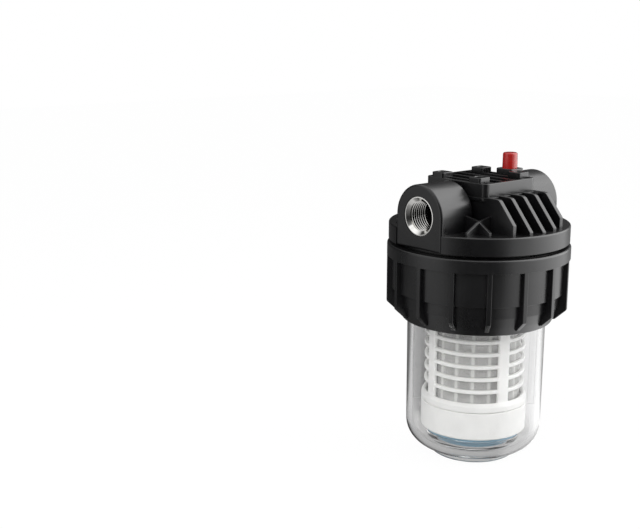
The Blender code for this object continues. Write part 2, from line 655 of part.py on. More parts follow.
def ribs():
    """Five tall fins under the plate, and in each corner a low fin crossed by a brace."""
    root_z = HEAD_TOP_Z - RIB_ROOT
    foot_z = HEAD_TOP_Z + FIN_FOOT_UP
    tall = outline((-FIN_FOOT_Y, root_z), (FIN_FOOT_Y, root_z), (FIN_FOOT_Y, foot_z),
                   (FIN_KNEE_Y, FIN_TOP_Z, FIN_KNEE_R), (-FIN_KNEE_Y, FIN_TOP_Z, FIN_KNEE_R),
                   (-FIN_FOOT_Y, foot_z))
    pieces = [extruded("fin", tall, -FIN_T / 2, FIN_T / 2, BLACK, upright_y(x))
              for x in spread(FIN_COUNT, FIN_PITCH)]
    low_x = FIN_PITCH * (FIN_COUNT + 1) / 2
    high_z = HEAD_TOP_Z + BRACE_HIGH_UP
    mid_z = HEAD_TOP_Z + BRACE_MID_UP
    low_z = HEAD_TOP_Z + BRACE_LOW_UP
    end_y = math.sqrt(BRACE_END_R ** 2 - low_x ** 2)
    end_x = math.sqrt(FIN_TRIM_R ** 2 - BRACE_Y ** 2)
    start_y = BARREL_R - RIB_ROOT
    start_x = FIN_PITCH * (FIN_COUNT - 1) / 2
    low_fin = [(start_y, root_z), (end_y, root_z), (end_y, low_z), (BRACE_Y, mid_z),
               (start_y, high_z)]
    brace = [(start_x, root_z), (end_x, root_z), (end_x, low_z), (low_x, mid_z),
             (start_x, high_z)]
    for side in (-1, 1):
        for other in (-1, 1):
            pieces.append(extruded("low_fin", [(side * y, z) for y, z in low_fin],
                                   -BRACE_T / 2, BRACE_T / 2, BLACK, upright_y(other * low_x)))
            pieces.append(extruded("brace", [(side * x, z) for x, z in brace],
                                   -BRACE_T / 2, BRACE_T / 2, BLACK, upright_x(other * BRACE_Y)))
    fused = fuse(*pieces)
    return trim(fused, cylinder("fin_trim", FIN_TRIM_R, root_z - RIB_ROOT, FIN_TOP_Z + RIB_ROOT,
                                BLACK, BIG_STEPS))


def plate():
    """The mounting plate: an open-topped tray on a thin ledge, with upright ribs in it."""
    ledge_z = FIN_TOP_Z - LEDGE_DOWN
    ledge = extruded("ledge", rectangle(PLATE_X + 2 * LEDGE_OUT, PLATE_Y + 2 * LEDGE_OUT,
                                        PLATE_CORNER_R), ledge_z - LEDGE_T, ledge_z, BLACK)
    tray = extruded("plate", rectangle(PLATE_X, PLATE_Y, PLATE_CORNER_R),
                    ledge_z - LEDGE_T / 2, PLATE_TOP_Z, BLACK)
    inside_x = PLATE_X / 2 - PLATE_RIM
    inside_y = PLATE_Y - 2 * PLATE_RIM
    marks = [-inside_x]
    for x in spread(PLATE_RIBS, PLATE_RIB_PITCH):
        marks += [x - PLATE_RIB_T / 2, x + PLATE_RIB_T / 2]
    marks.append(inside_x)
    pockets = []
    for low, high in zip(marks[::2], marks[1::2]):
        shape = rectangle(high - low, inside_y, 0.0, ((low + high) / 2, 0.0))
        pockets.append(extruded("pocket", shape, PLATE_TOP_Z - POCKET_DEPTH,
                                PLATE_TOP_Z + RIB_ROOT, BLACK))
    return fuse(cut(tray, joined("pockets", pockets)), ledge)


def screw_bosses():
    """Four square bosses on the plate's corners, each with a blind hole for a bracket screw."""
    hole_z = BOSS_TOP_Z - SCREW_HOLE_DEPTH
    bosses = []
    holes = []
    for x in (-BOSS_X, BOSS_X):
        for y in (-BOSS_Y, BOSS_Y):
            bosses.append(extruded("boss", rectangle(BOSS_W, BOSS_W, BOSS_CORNER_R, (x, y)),
                                   FIN_TOP_Z - LEDGE_T / 2, BOSS_TOP_Z, BLACK))
            holes.append(cylinder("hole", SCREW_HOLE_R, hole_z, BOSS_TOP_Z + RIB_ROOT, BLACK,
                                  SMALL_STEPS, at(x, y)))
    return joined("bosses", bosses), joined("holes", holes)


def port_cutter(side, inner_end):
    """Everything that is open along a port: the insert's seat and the passage behind it."""
    seat_end = INSERT_IN_X - GAP
    step = INSERT_OUT_X - INSERT_RIM_L + GAP
    outside = PORT_FACE_X + RIB_ROOT
    profile = [(0.0, inner_end), (PASSAGE_R, inner_end), (PASSAGE_R, seat_end),
               (INSERT_BODY_R + GAP, seat_end), (INSERT_BODY_R + GAP, step),
               (INSERT_RIM_R + GAP, step), (INSERT_RIM_R + GAP, outside), (0.0, outside)]
    return turned("port_cutter", profile, BLACK, MID_STEPS, along_x(side))


def relief_cutter():
    """The stepped bore under the button, down to the valve's seat in the inlet passage."""
    gland_z = RELIEF_FLOOR_Z - GLAND_DEPTH
    top = RELIEF_TOP_Z + RIB_ROOT
    profile = [(0.0, PORT_Z), (VALVE_POCKET_R, PORT_Z), (VALVE_POCKET_R, VALVE_SEAT_Z),
               (STEM_HOLE_R, VALVE_SEAT_Z), (STEM_HOLE_R, gland_z), (GLAND_R, gland_z),
               (GLAND_R, RELIEF_FLOOR_Z), (BUTTON_BORE_R, RELIEF_FLOOR_Z),
               (BUTTON_BORE_R, top), (0.0, top)]
    return turned("relief_cutter", profile, BLACK, SMALL_STEPS, at(RELIEF_X))


def head():
    """The moulded head: flange, threaded skirt, ports, fins, plate and bosses in one piece."""
    neck_room_z = NECK_Z + GAP
    profile = [(0.0, SPIGOT_Z), (SPIGOT_R, SPIGOT_Z), (SPIGOT_R, CHAMBER_Z),
               (CHAMBER_R, CHAMBER_Z), (CHAMBER_R, neck_room_z), (SKIRT_BORE_R, neck_room_z),
               (SKIRT_BORE_R, SKIRT_Z), (SKIRT_R, SKIRT_Z), (SKIRT_R, HEAD_Z),
               (HEAD_R, HEAD_Z), (HEAD_R, HEAD_TOP_Z - HEAD_EDGE),
               (HEAD_R - HEAD_EDGE, HEAD_TOP_Z), (0.0, HEAD_TOP_Z)]
    body = turned("head", profile, BLACK, BIG_STEPS)
    bosses, holes = screw_bosses()
    relief_boss = extruded("relief_boss", rectangle(RELIEF_BOSS_W, RELIEF_BOSS_W,
                                                    RELIEF_BOSS_CORNER_R, (RELIEF_X, 0.0)),
                           FIN_TOP_Z - LEDGE_T, RELIEF_TOP_Z, BLACK)
    feet = joined("barrel_feet", [barrel_foot(1), barrel_foot(-1)])
    fuse(body, port_barrel(1), port_barrel(-1), feet, core_pipe(), ribs(), plate(), bosses,
         relief_boss)
    beyond = HEAD_R + BARREL_R
    flats = joined("flats", [
        extruded("flat", rectangle(HEAD_R, 2 * beyond, 0.0,
                                   (side * (PORT_FACE_X + HEAD_R / 2), 0.0)),
                 SKIRT_Z, PLATE_TOP_Z + BOSS_UP, BLACK) for side in (-1, 1)])
    drop = extruded("drop", rectangle(DROP_L, DROP_W, DROP_CORNER_R, (DROP_IN_X + DROP_L / 2, 0.0)),
                    CHAMBER_Z - RIB_ROOT, PORT_Z, BLACK)
    riser = cylinder("riser", RISER_R, SPIGOT_Z - RIB_ROOT, PORT_Z, BLACK)
    return cut(body, flats, port_cutter(1, DROP_IN_X), port_cutter(-1, 0.0), drop, riser, holes,
               relief_cutter())


def insert(name, side):
    """A plated insert with a plain bore at the thread's root size and a groove for its seal."""
    rim = INSERT_OUT_X - INSERT_RIM_L
    groove = INSERT_IN_X + INSERT_SEAL_FROM_END
    groove_r = INSERT_BODY_R - GAP - INSERT_SEAL_D
    groove_end = groove + INSERT_SEAL_D + 2 * GAP
    mouth = INSERT_OUT_X - INSERT_MOUTH_L
    cone = mouth - INSERT_MOUTH_OUT
    profile = [(INSERT_BORE_R, INSERT_IN_X), (INSERT_BODY_R, INSERT_IN_X), (INSERT_BODY_R, groove),
               (groove_r, groove), (groove_r, groove_end), (INSERT_BODY_R, groove_end),
               (INSERT_BODY_R, rim), (INSERT_RIM_R, rim), (INSERT_RIM_R, INSERT_OUT_X),
               (INSERT_MOUTH_R, INSERT_OUT_X), (INSERT_MOUTH_R, mouth), (INSERT_BORE_R, cone)]
    return turned(name, profile, NICKEL, MID_STEPS, along_x(side))


def insert_seal(name, side):
    middle = INSERT_IN_X + INSERT_SEAL_FROM_END + GAP + INSERT_SEAL_D / 2
    ring_r = INSERT_BODY_R - INSERT_SEAL_D / 2
    return torus(name, ring_r, INSERT_SEAL_D, middle, RUBBER, SMALL_STEPS, along_x(side))


def relief_button():
    """The red button, a hollow cap that slides in the boss and holds the stem in its crown."""
    hole_top = CROWN_Z + STEM_IN_CROWN + GAP
    cavity_r = BUTTON_R - BUTTON_WALL
    profile = outline((0.0, hole_top), (STEM_HOLE_R, hole_top), (STEM_HOLE_R, CROWN_Z),
                      (cavity_r, CROWN_Z), (cavity_r, BUTTON_Z), (BUTTON_R, BUTTON_Z),
                      (BUTTON_R - BUTTON_TAPER, BUTTON_TOP_Z, BUTTON_EDGE_R),
                      (0.0, BUTTON_TOP_Z))
    return turned("relief_button", profile, RED, SMALL_STEPS, at(RELIEF_X))


def relief_stem():
    groove_low = CLIP_Z - GAP
    groove_high = CLIP_Z + CLIP_T + GAP
    profile = [(0.0, STEM_Z), (STEM_R, STEM_Z), (STEM_R, groove_low), (CLIP_GROOVE_R, groove_low),
               (CLIP_GROOVE_R, groove_high), (STEM_R, groove_high),
               (STEM_R, CROWN_Z + STEM_IN_CROWN), (0.0, CROWN_Z + STEM_IN_CROWN)]
    return turned("relief_stem", profile, STEEL, SMALL_STEPS, at(RELIEF_X))


def relief_spring():
    """A round wire wound into a helix between the gland bush and the button's crown."""
    bm = bmesh.new()
    low = GLAND_BUSH_TOP_Z + GAP + SPRING_WIRE_D / 2
    high = CROWN_Z - GAP - SPRING_WIRE_D / 2
    count = SPRING_TURNS * SPRING_STEPS
    rings = []
    for step in range(count + 1):
        angle = math.tau * step / SPRING_STEPS
        height = low + (high - low) * step / count
        out = Vector((math.cos(angle), math.sin(angle), 0.0))
        centre = out * SPRING_R + Vector((0.0, 0.0, height))
        ring = []
        for side in range(RING_SIDES):
            around = math.tau * side / RING_SIDES
            point = (centre + out * (SPRING_WIRE_D / 2 * math.cos(around))
                     + Vector((0.0, 0.0, SPRING_WIRE_D / 2 * math.sin(around))))
            ring.append(bm.verts.new(point * MM))
        rings.append(ring)
    for first, second in zip(rings, rings[1:]):
        for side in range(RING_SIDES):
            after = (side + 1) % RING_SIDES
            bm.faces.new((first[side], first[after], second[after], second[side]))
    bm.faces.new(rings[0])
    bm.faces.new(rings[-1])
    bmesh.ops.transform(bm, matrix=at(RELIEF_X), verts=bm.verts)
    return add_object("relief_spring", bm, STEEL)


def gland_bush():
    top = GLAND_BUSH_TOP_Z
    profile = [(STEM_HOLE_R, GLAND_BUSH_Z), (BUTTON_R, GLAND_BUSH_Z), (BUTTON_R, top),
               (STEM_HOLE_R, top)]
    return turned("relief_gland_bush", profile, WHITE, SMALL_STEPS, at(RELIEF_X))


def stem_seal():
    ring_r = GLAND_R - GAP - STEM_SEAL_D / 2
    height = RELIEF_FLOOR_Z - GLAND_DEPTH + GAP + STEM_SEAL_D / 2
    return torus("relief_stem_o_ring", ring_r, STEM_SEAL_D, height, RUBBER, SMALL_STEPS,
                 at(RELIEF_X))


def valve_disc():
    profile = [(STEM_HOLE_R, VALVE_DISC_Z), (VALVE_DISC_R, VALVE_DISC_Z),
               (VALVE_DISC_R, VALVE_DISC_Z + VALVE_DISC_T), (STEM_HOLE_R, VALVE_DISC_Z + VALVE_DISC_T)]
    return turned("relief_valve_disc", profile, RUBBER, SMALL_STEPS, at(RELIEF_X))


def stem_clip():
    """An open ring that snaps into the stem's groove and holds the valve disc up."""
    half = CLIP_OPENING / 2
    angles = [math.radians(half + (360.0 - 2 * half) * step / SPRING_STEPS)
              for step in range(SPRING_STEPS + 1)]
    inside_r = CLIP_GROOVE_R + GAP
    shape = [(CLIP_R * math.cos(angle), CLIP_R * math.sin(angle)) for angle in angles]
    shape += [(inside_r * math.cos(angle), inside_r * math.sin(angle)) for angle in reversed(angles)]
    return extruded("relief_stem_clip", shape, CLIP_Z, CLIP_Z + CLIP_T, STEEL, at(RELIEF_X))


def lattice(name, levels, open_rows, columns, wall, finish):
    """A round wall with windows: a grid of faces, less the windows, thickened inwards.

    levels holds (height, radius) from the bottom up, open_rows the rows that have windows, and
    columns (start angle, has window) once around.
    """
    bm = bmesh.new()
    grid = []
    for height, radius in levels:
        grid.append([bm.verts.new((radius * math.cos(math.radians(angle)) * MM,
                                   radius * math.sin(math.radians(angle)) * MM, height * MM))
                     for angle, _ in columns])
    for row, (below, above) in enumerate(zip(grid, grid[1:])):
        for column, (_, has_window) in enumerate(columns):
            after = (column + 1) % len(columns)
            if not (has_window and row in open_rows):
                bm.faces.new((below[column], below[after], above[after], above[column]))
    made = add_object(name, bm, finish)
    thick = made.modifiers.new("wall", "SOLIDIFY")
    thick.thickness = wall * MM
    thick.offset = -1.0
    thick.use_even_offset = True
    return made


def cartridge_cage():
    """The outer cage: four posts and nine hoops between a flared foot and a plain top band."""
    levels = [(CAGE_Z, CAP_R), (WINDOW_Z - CAGE_FLARE_H, CAP_R), (WINDOW_Z, CAGE_R)]
    open_rows = []
    for hoop in range(RING_COUNT):
        open_rows.append(len(levels) - 1)
        low = WINDOW_Z + (hoop + 1) * RING_PITCH - RING_H
        levels += [(low, CAGE_R), (low + RING_H, CAGE_R)]
    open_rows.append(len(levels) - 1)
    levels += [(WINDOW_TOP_Z, CAGE_R), (CAGE_TOP_Z, CAGE_R)]
    post = math.degrees(POST_W / CAGE_R)
    sector = 360.0 / CAGE_POSTS
    columns = []
    for index in range(CAGE_POSTS):
        start = POST_ANGLE + sector * index - post / 2
        columns.append((start, False))
        for step in range(WINDOW_STEPS):
            columns.append((start + post + (sector - post) * step / WINDOW_STEPS, True))
    return lattice("cartridge_cage", levels, open_rows, columns, CAGE_WALL, WHITE)


def cartridge_core():
    """The inner frame that holds the mesh out: thin upright bars joined by a few hoops."""
    pitch = (WINDOW_TOP_Z - WINDOW_Z + CORE_HOOP_H) / (CORE_HOOPS + 1)
    levels = [(CORE_Z, CORE_R), (WINDOW_Z, CORE_R)]
    open_rows = []
    for hoop in range(CORE_HOOPS):
        open_rows.append(len(levels) - 1)
        top = WINDOW_Z + (hoop + 1) * pitch
        levels += [(top - CORE_HOOP_H, CORE_R), (top, CORE_R)]
    open_rows.append(len(levels) - 1)
    levels += [(WINDOW_TOP_Z, CORE_R), (CORE_TOP_Z, CORE_R)]
    bar = math.degrees(CORE_BAR_W / CORE_R)
    columns = []
    for index in range(CORE_BARS):
        start = CORE_BAR_ANGLE + 360.0 * index / CORE_BARS - bar / 2
        columns += [(start, False), (start + bar, True)]
    return lattice("cartridge_core", levels, open_rows, columns, CORE_WALL, WHITE)


def mesh_sleeve():
    profile = [(MESH_R - MESH_T, CORE_Z), (MESH_R, CORE_Z), (MESH_R, CORE_TOP_Z),
               (MESH_R - MESH_T, CORE_TOP_Z)]
    return turned("mesh_sleeve", profile, GREY_MESH, MID_STEPS)


def lower_cap():
    top = LOWER_CAP_Z + LOWER_CAP_H
    inside_r = CAP_R - CAP_WALL
    floor = LOWER_CAP_Z + CAP_FLOOR_T
    profile = outline((0.0, LOWER_CAP_Z), (CAP_R, LOWER_CAP_Z, CAP_EDGE_R), (CAP_R, top),
                      (inside_r, top), (inside_r, floor), (0.0, floor))
    return turned("cartridge_bottom_cap", profile, WHITE, MID_STEPS)


def upper_cap():
    roof = UPPER_CAP_TOP_Z - CAP_FLOOR_T
    inside_r = UPPER_CAP_R - CAP_WALL
    lip_in = UPPER_GASKET_R + GAP
    lip_out = lip_in + GASKET_LIP_W
    lip_top = UPPER_CAP_TOP_Z + GASKET_LIP_H
    profile = outline((UPPER_CAP_HOLE_R, roof), (inside_r, roof), (inside_r, UPPER_CAP_Z),
                      (UPPER_CAP_R, UPPER_CAP_Z), (UPPER_CAP_R, UPPER_CAP_TOP_Z, CAP_EDGE_R),
                      (lip_out, UPPER_CAP_TOP_Z), (lip_out, lip_top), (lip_in, lip_top),
                      (lip_in, UPPER_CAP_TOP_Z), (UPPER_CAP_HOLE_R, UPPER_CAP_TOP_Z))
    return turned("cartridge_top_cap", profile, WHITE, MID_STEPS)


def flat_ring(name, inner, outer, low, thickness, finish, steps=MID_STEPS):
    profile = [(inner, low), (outer, low), (outer, low + thickness), (inner, low + thickness)]
    return turned(name, profile, finish, steps)


def build():
    for left_over in list(bpy.data.objects):
        bpy.data.objects.remove(left_over)
    head()
    insert("inlet_insert", 1)
    insert("outlet_insert", -1)
    insert_seal("inlet_insert_o_ring", 1)
    insert_seal("outlet_insert_o_ring", -1)
    relief_button()
    relief_stem()
    relief_spring()
    gland_bush()
    stem_seal()
    valve_disc()
    stem_clip()
    bowl()
    main_seal()
    slip_ring()
    collar_nut()
    cartridge_cage()
    cartridge_core()
    mesh_sleeve()
    lower_cap()
    upper_cap()
    flat_ring("upper_gasket", UPPER_GASKET_HOLE_R, UPPER_GASKET_R, UPPER_GASKET_Z,
              UPPER_GASKET_T, RUBBER)
    flat_ring("lower_gasket", LOWER_GASKET_HOLE_R, LOWER_GASKET_R, LOWER_GASKET_Z, GASKET_T, BLUE)


build()
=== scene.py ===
# %% [markdown]
# # A mesh water filter
#
# This lesson dresses a water filter: a black moulded head with two threaded ports, a ribbed collar
# nut, and a clear bowl around a white cartridge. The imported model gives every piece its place. Each
# visible piece is modelled again here with finer curves and softened edges, gets its plastic, metal
# or rubber, and then follows the body that it belongs to.
#
# Lengths are written in millimetres, as on a maker's drawing, and turned into metres where a shape
# is made.

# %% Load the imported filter
import math

import bmesh
import bpy
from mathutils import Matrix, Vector


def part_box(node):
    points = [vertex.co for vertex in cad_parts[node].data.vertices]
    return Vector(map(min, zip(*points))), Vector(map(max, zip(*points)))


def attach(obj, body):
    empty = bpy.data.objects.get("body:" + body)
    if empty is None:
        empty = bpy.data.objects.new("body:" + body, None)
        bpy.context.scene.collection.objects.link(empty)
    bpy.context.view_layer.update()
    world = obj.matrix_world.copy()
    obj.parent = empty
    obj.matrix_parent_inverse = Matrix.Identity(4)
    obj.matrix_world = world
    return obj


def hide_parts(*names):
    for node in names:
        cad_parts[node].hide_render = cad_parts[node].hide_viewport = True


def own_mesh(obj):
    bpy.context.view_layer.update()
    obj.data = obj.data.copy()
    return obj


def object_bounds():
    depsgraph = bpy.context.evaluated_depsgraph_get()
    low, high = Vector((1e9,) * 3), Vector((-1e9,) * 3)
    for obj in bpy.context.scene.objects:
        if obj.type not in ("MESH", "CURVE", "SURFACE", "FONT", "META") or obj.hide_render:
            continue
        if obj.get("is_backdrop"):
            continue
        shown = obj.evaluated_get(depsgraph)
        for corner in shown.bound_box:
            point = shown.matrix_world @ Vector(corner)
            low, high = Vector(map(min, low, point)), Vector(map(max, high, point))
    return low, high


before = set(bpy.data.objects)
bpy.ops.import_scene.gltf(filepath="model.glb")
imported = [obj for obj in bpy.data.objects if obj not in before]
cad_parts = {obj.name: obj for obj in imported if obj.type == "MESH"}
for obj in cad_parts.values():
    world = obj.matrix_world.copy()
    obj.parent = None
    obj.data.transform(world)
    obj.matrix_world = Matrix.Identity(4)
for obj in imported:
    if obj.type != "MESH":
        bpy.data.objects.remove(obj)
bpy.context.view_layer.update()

MM = 0.001


def reach(node):
    """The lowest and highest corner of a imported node, in millimetres."""
    low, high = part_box(node)
    return low / MM, high / MM


# %% [markdown]
# ## Drawing by hand
#
# Most pieces start as an outline that is drawn point by point, each point extruded from the last.
# An outline is then either pushed into a prism or spun into a round piece. Corners are rounded
# before the outline is drawn, because a round corner is an arc that the outline can hold itself.

# %% Outlines with round corners
ARC_STEPS = 5
# A round takes at most half of a side that it shares with another round, or nearly all of it.
SHARED_SIDE, OWN_SIDE = 0.49, 0.98


def rounded(*corners, steps=ARC_STEPS):
    """Points of an outline from corners (a, b) or (a, b, radius), in millimetres."""
    points = []
    for index, corner in enumerate(corners):
        here = Vector(corner[:2])
        if len(corner) < 3:
            points.append(here)
            continue
        before, after = corners[index - 1], corners[(index + 1) % len(corners)]
        back = Vector(before[:2]) - here
        ahead = Vector(after[:2]) - here
        half = back.angle(ahead) / 2
        room = [side.length * (SHARED_SIDE if len(next_one) > 2 else OWN_SIDE)
                for side, next_one in ((back, before), (ahead, after))]
        along = min(corner[2] / math.tan(half), *room)
        radius = along * math.tan(half)
        middle = here + (back.normalized() + ahead.normalized()).normalized() * radius / math.sin(half)
        start = here + back.normalized() * along - middle
        turn = start.angle_signed(here + ahead.normalized() * along - middle)
        for step in range(steps + 1):
            angle = turn * step / steps
            sine, cosine = math.sin(angle), math.cos(angle)
            points.append(middle + Vector((start.x * cosine + start.y * sine,
                                           start.y * cosine - start.x * sine)))
    return points


def arc(middle_a, middle_b, radius, start, end, steps=ARC_STEPS):
    """Points along an arc of an outline, from one angle to another."""
    angles = [start + (end - start) * step / steps for step in range(steps + 1)]
    return [(middle_a + radius * math.cos(a), middle_b + radius * math.sin(a)) for a in angles]


def level(points, z):
    """Lay an outline of (x, y) flat at a height."""
    return [(x, y, z) for x, y in points]


def facing_x(points, x):
    """Stand an outline of (y, z) across X."""
    return [(x, y, z) for y, z in points]


def facing_y(points, y):
    """Stand an outline of (x, z) across Y."""
    return [(x, y, z) for x, z in points]


def round_square(width, depth, radius, x=0.0, y=0.0):
    """A rectangle with round corners around a centre."""
    w, d = width / 2, depth / 2
    return rounded((x - w, y - d, radius), (x + w, y - d, radius), (x + w, y + d, radius),
                   (x - w, y + d, radius))


# %% Draw, push and spin
TINY = 0.005 * MM
ROUND_STEPS = 144


def only(piece):
    """Make one piece the only selected one."""
    bpy.ops.object.select_all(action="DESELECT")
    piece.select_set(True)
    bpy.context.view_layer.objects.active = piece


def pick(piece, chosen, kind="VERT"):
    """In edit mode, select the points or faces that chosen says yes to, by their middle."""
    bpy.ops.mesh.select_mode(type=kind)
    bpy.ops.mesh.select_all(action="DESELECT")
    mesh = bmesh.from_edit_mesh(piece.data)
    for part in mesh.verts if kind == "VERT" else mesh.faces:
        part.select = chosen(part.co if kind == "VERT" else part.calc_center_median())
    mesh.select_flush_mode()
    bmesh.update_edit_mesh(piece.data)


def draw(name, points, closed=True):
    """Draw an outline through points in millimetres and stay in edit mode."""
    path = [Vector(point) * MM for point in points]
    bpy.ops.object.select_all(action="DESELECT")
    bpy.ops.mesh.primitive_plane_add(size=MM)
    piece = bpy.context.object
    piece.name = name
    bpy.ops.object.mode_set(mode="EDIT")
    bpy.ops.mesh.select_mode(type="VERT")
    bpy.ops.mesh.select_all(action="SELECT")
    bpy.ops.mesh.merge(type="CENTER")
    bpy.ops.transform.translate(value=path[0])
    for here, there in zip(path, path[1:]):
        bpy.ops.mesh.extrude_region_move(TRANSFORM_OT_translate={"value": there - here})
    if closed:
        pick(piece, lambda place: min((place - path[0]).length, (place - path[-1]).length) < TINY)
        bpy.ops.mesh.edge_face_add()
    bpy.ops.mesh.select_all(action="SELECT")
    return piece


def close_up(piece):
    """Merge doubled points, turn the faces outwards and leave edit mode."""
    bpy.ops.mesh.select_all(action="SELECT")
    bpy.ops.mesh.remove_doubles(threshold=TINY)
    bpy.ops.mesh.normals_make_consistent(inside=False)
    bpy.ops.object.mode_set(mode="OBJECT")
    return piece


def prism(name, points, x=0.0, y=0.0, z=0.0):
    """Draw an outline, fill it and push it along a vector in millimetres."""
    piece = draw(name, points)
    bpy.ops.mesh.edge_face_add()
    bpy.ops.mesh.extrude_region_move(TRANSFORM_OT_translate={"value": Vector((x, y, z)) * MM})
    return close_up(piece)


def turned(name, profile, steps=ROUND_STEPS, x=0.0, start=0.0, closed=True):
    """Spin a profile of (radius, height) about an upright axis at x."""
    out = Vector((math.cos(start), math.sin(start)))
    piece = draw(name, [(x + r * out.x, r * out.y, z) for r, z in profile], closed)
    bpy.ops.mesh.spin(steps=steps, angle=math.tau, center=(x * MM, 0, 0), axis=(0, 0, 1))
    return close_up(piece)


def turned_along_x(name, profile, z, steps=ROUND_STEPS, closed=True):
    """Spin a profile of (place along X, radius) about the ports' axis at height z."""
    piece = draw(name, [(place, 0.0, z + radius) for place, radius in profile], closed)
    bpy.ops.mesh.spin(steps=steps, angle=math.tau, center=(0, 0, z * MM), axis=(1, 0, 0))
    return close_up(piece)


# %% [markdown]
# ## Modifiers
#
# Bevel, Boolean and Solidify are set up as in the modifier panel and applied at once. A moulded
# edge is never quite sharp, and its small round is what catches the light, so each plain solid is
# softened before it is fused with the next one: a bevel works best on a simple shape.

# %% Apply, soften, fuse and cut
def apply(piece, kind, **settings):
    """Add a modifier with its settings and apply it."""
    only(piece)
    change = piece.modifiers.new(kind.title(), kind)
    for name, value in settings.items():
        setattr(change, name, value)
    bpy.ops.object.modifier_apply(modifier=change.name)
    return piece


def soften(piece, width, segments=3):
    """Round every edge that is sharper than 30 degrees."""
    return apply(piece, "BEVEL", width=width * MM, segments=segments, limit_method="ANGLE",
                 angle_limit=math.radians(30))


def combine(piece, others, operation):
    """Fuse or cut a piece with the others one by one, and remove them."""
    for other in others:
        apply(piece, "BOOLEAN", operation=operation, solver="EXACT", object=other)
        bpy.data.objects.remove(other)
    return piece


def fuse(piece, *others):
    """Make one solid of a piece and the others."""
    return combine(piece, others, "UNION")


def cut(piece, *others):
    """Take the shapes of the others out of a piece."""
    return combine(piece, others, "DIFFERENCE")


def placed(piece, x=0.0, y=0.0, z=0.0, turn_y=0.0, turn_z=0.0):
    """Turn a piece, move it by millimetres, and write its place into the mesh."""
    only(piece)
    piece.rotation_euler = (0.0, turn_y, turn_z)
    piece.location = Vector((x, y, z)) * MM
    bpy.ops.object.transform_apply(location=True, rotation=True, scale=False)
    return piece


def gather(*pieces):
    """Join separate solids into one object."""
    only(pieces[0])
    for piece in pieces:
        piece.select_set(True)
    bpy.ops.object.join()
    return pieces[0]


def copied(piece, count):
    """Copies of a piece, each with its own mesh, set evenly around Z."""
    copies = [piece]
    for index in range(1, count):
        only(piece)
        bpy.ops.object.duplicate(linked=False)
        copies.append(placed(bpy.context.object, turn_z=math.tau * index / count))
    return copies


def dress(piece, body, slot, paint, *stands_for, angle=35):
    """Shade a finished piece, give it its material and let it ride on its body."""
    only(piece)
    bpy.ops.object.shade_smooth_by_angle(angle=math.radians(angle))
    apply(piece, "WEIGHTED_NORMAL", keep_sharp=True)
    piece.data.materials.clear()
    piece.data.materials.append(paint)
    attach(piece, body)
    if stands_for:
        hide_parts(*stands_for)
    print(piece.name, len(piece.data.polygons), "faces")
    return piece


# %% [markdown]
# ## Materials
#
# Each material starts from what the real one is. One function adds a node with its settings and
# links, and another turns a colour picked in a paint program into the linear values that the
# renderer works with. Every moulded or turned face has some grain, and the mouldings wander a
# little between two tones, so these two recipes are written once.

# %% Colours, nodes and two recipes
def srgb(code):
    """Turn a hex colour into linear red, green, blue and alpha."""
    values = [int(code[index:index + 2], 16) / 255 for index in (1, 3, 5)]
    linear = [v / 12.92 if v <= 0.04045 else ((v + 0.055) / 1.055) ** 2.4 for v in values]
    return (*linear, 1.0)


def add(tree, kind, values=None, links=None, **settings):
    """Add a node, set its settings and values, and link its inputs."""
    node = tree.nodes.new(kind)
    for name, value in settings.items():
        setattr(node, name, value)
    for name, value in (values or {}).items():
        node.inputs[name].default_value = value
    for name, socket in (links or {}).items():
        tree.links.new(socket, node.inputs[name])
    return node


def new_material(name, values):
    """A material, its nodes, its shader with these values, and the place on the piece."""
    paint = bpy.data.materials.new(name)
    paint.use_nodes = True
    tree = paint.node_tree
    shader = tree.nodes["Principled BSDF"]
    for socket, value in values.items():
        shader.inputs[socket].default_value = value
    print("material:", name)
    return paint, tree, shader, add(tree, "ShaderNodeTexCoord").outputs["Object"]


def grained(tree, shader, place, size_mm, strength, depth_mm=0.05, detail=2.0):
    """Raise the face in lumps of a size, up to a depth."""
    lumps = add(tree, "ShaderNodeTexNoise", {"Scale": 1 / (size_mm * MM), "Detail": detail},
                {"Vector": place})
    bump = add(tree, "ShaderNodeBump", {"Strength": strength, "Distance": depth_mm * MM},
               {"Height": lumps.outputs["Fac"]})
    tree.links.new(bump.outputs["Normal"], shader.inputs["Normal"])


def two_toned(tree, shader, tone, spread, dark, light):
    """Colour the face from dark to light as a tone passes through its middle."""
    colours = add(tree, "ShaderNodeValToRGB", links={"Fac": tone})
    for stop, position, code in zip(colours.color_ramp.elements, (0.5 - spread, 0.5 + spread),
                                    (dark, light)):
        stop.position = position
        stop.color = srgb(code)
    tree.links.new(colours.outputs["Color"], shader.inputs["Base Color"])


# %% [markdown]
# ### Black polypropylene, injection moulded
#
# The head and the collar are glass-filled polypropylene from a fine, satin tool. It is nearly
# black, and what shows is its soft gloss: roughness wanders a little where the melt flowed, and a
# shallow grain breaks up reflections. The real grain is about 0.05 mm, too fine for the picture,
# so it is drawn at 0.35 mm. The collar has upright draw lines too, about 1.2 mm apart.

# %% Black polypropylene
PP_IOR = 1.49
BLACK_GRAIN_MM, FLOW_MM, LINE_MM = 0.35, 22.0, 1.2
LINE_SHARE, LINE_SQUEEZE = 0.35, 0.03


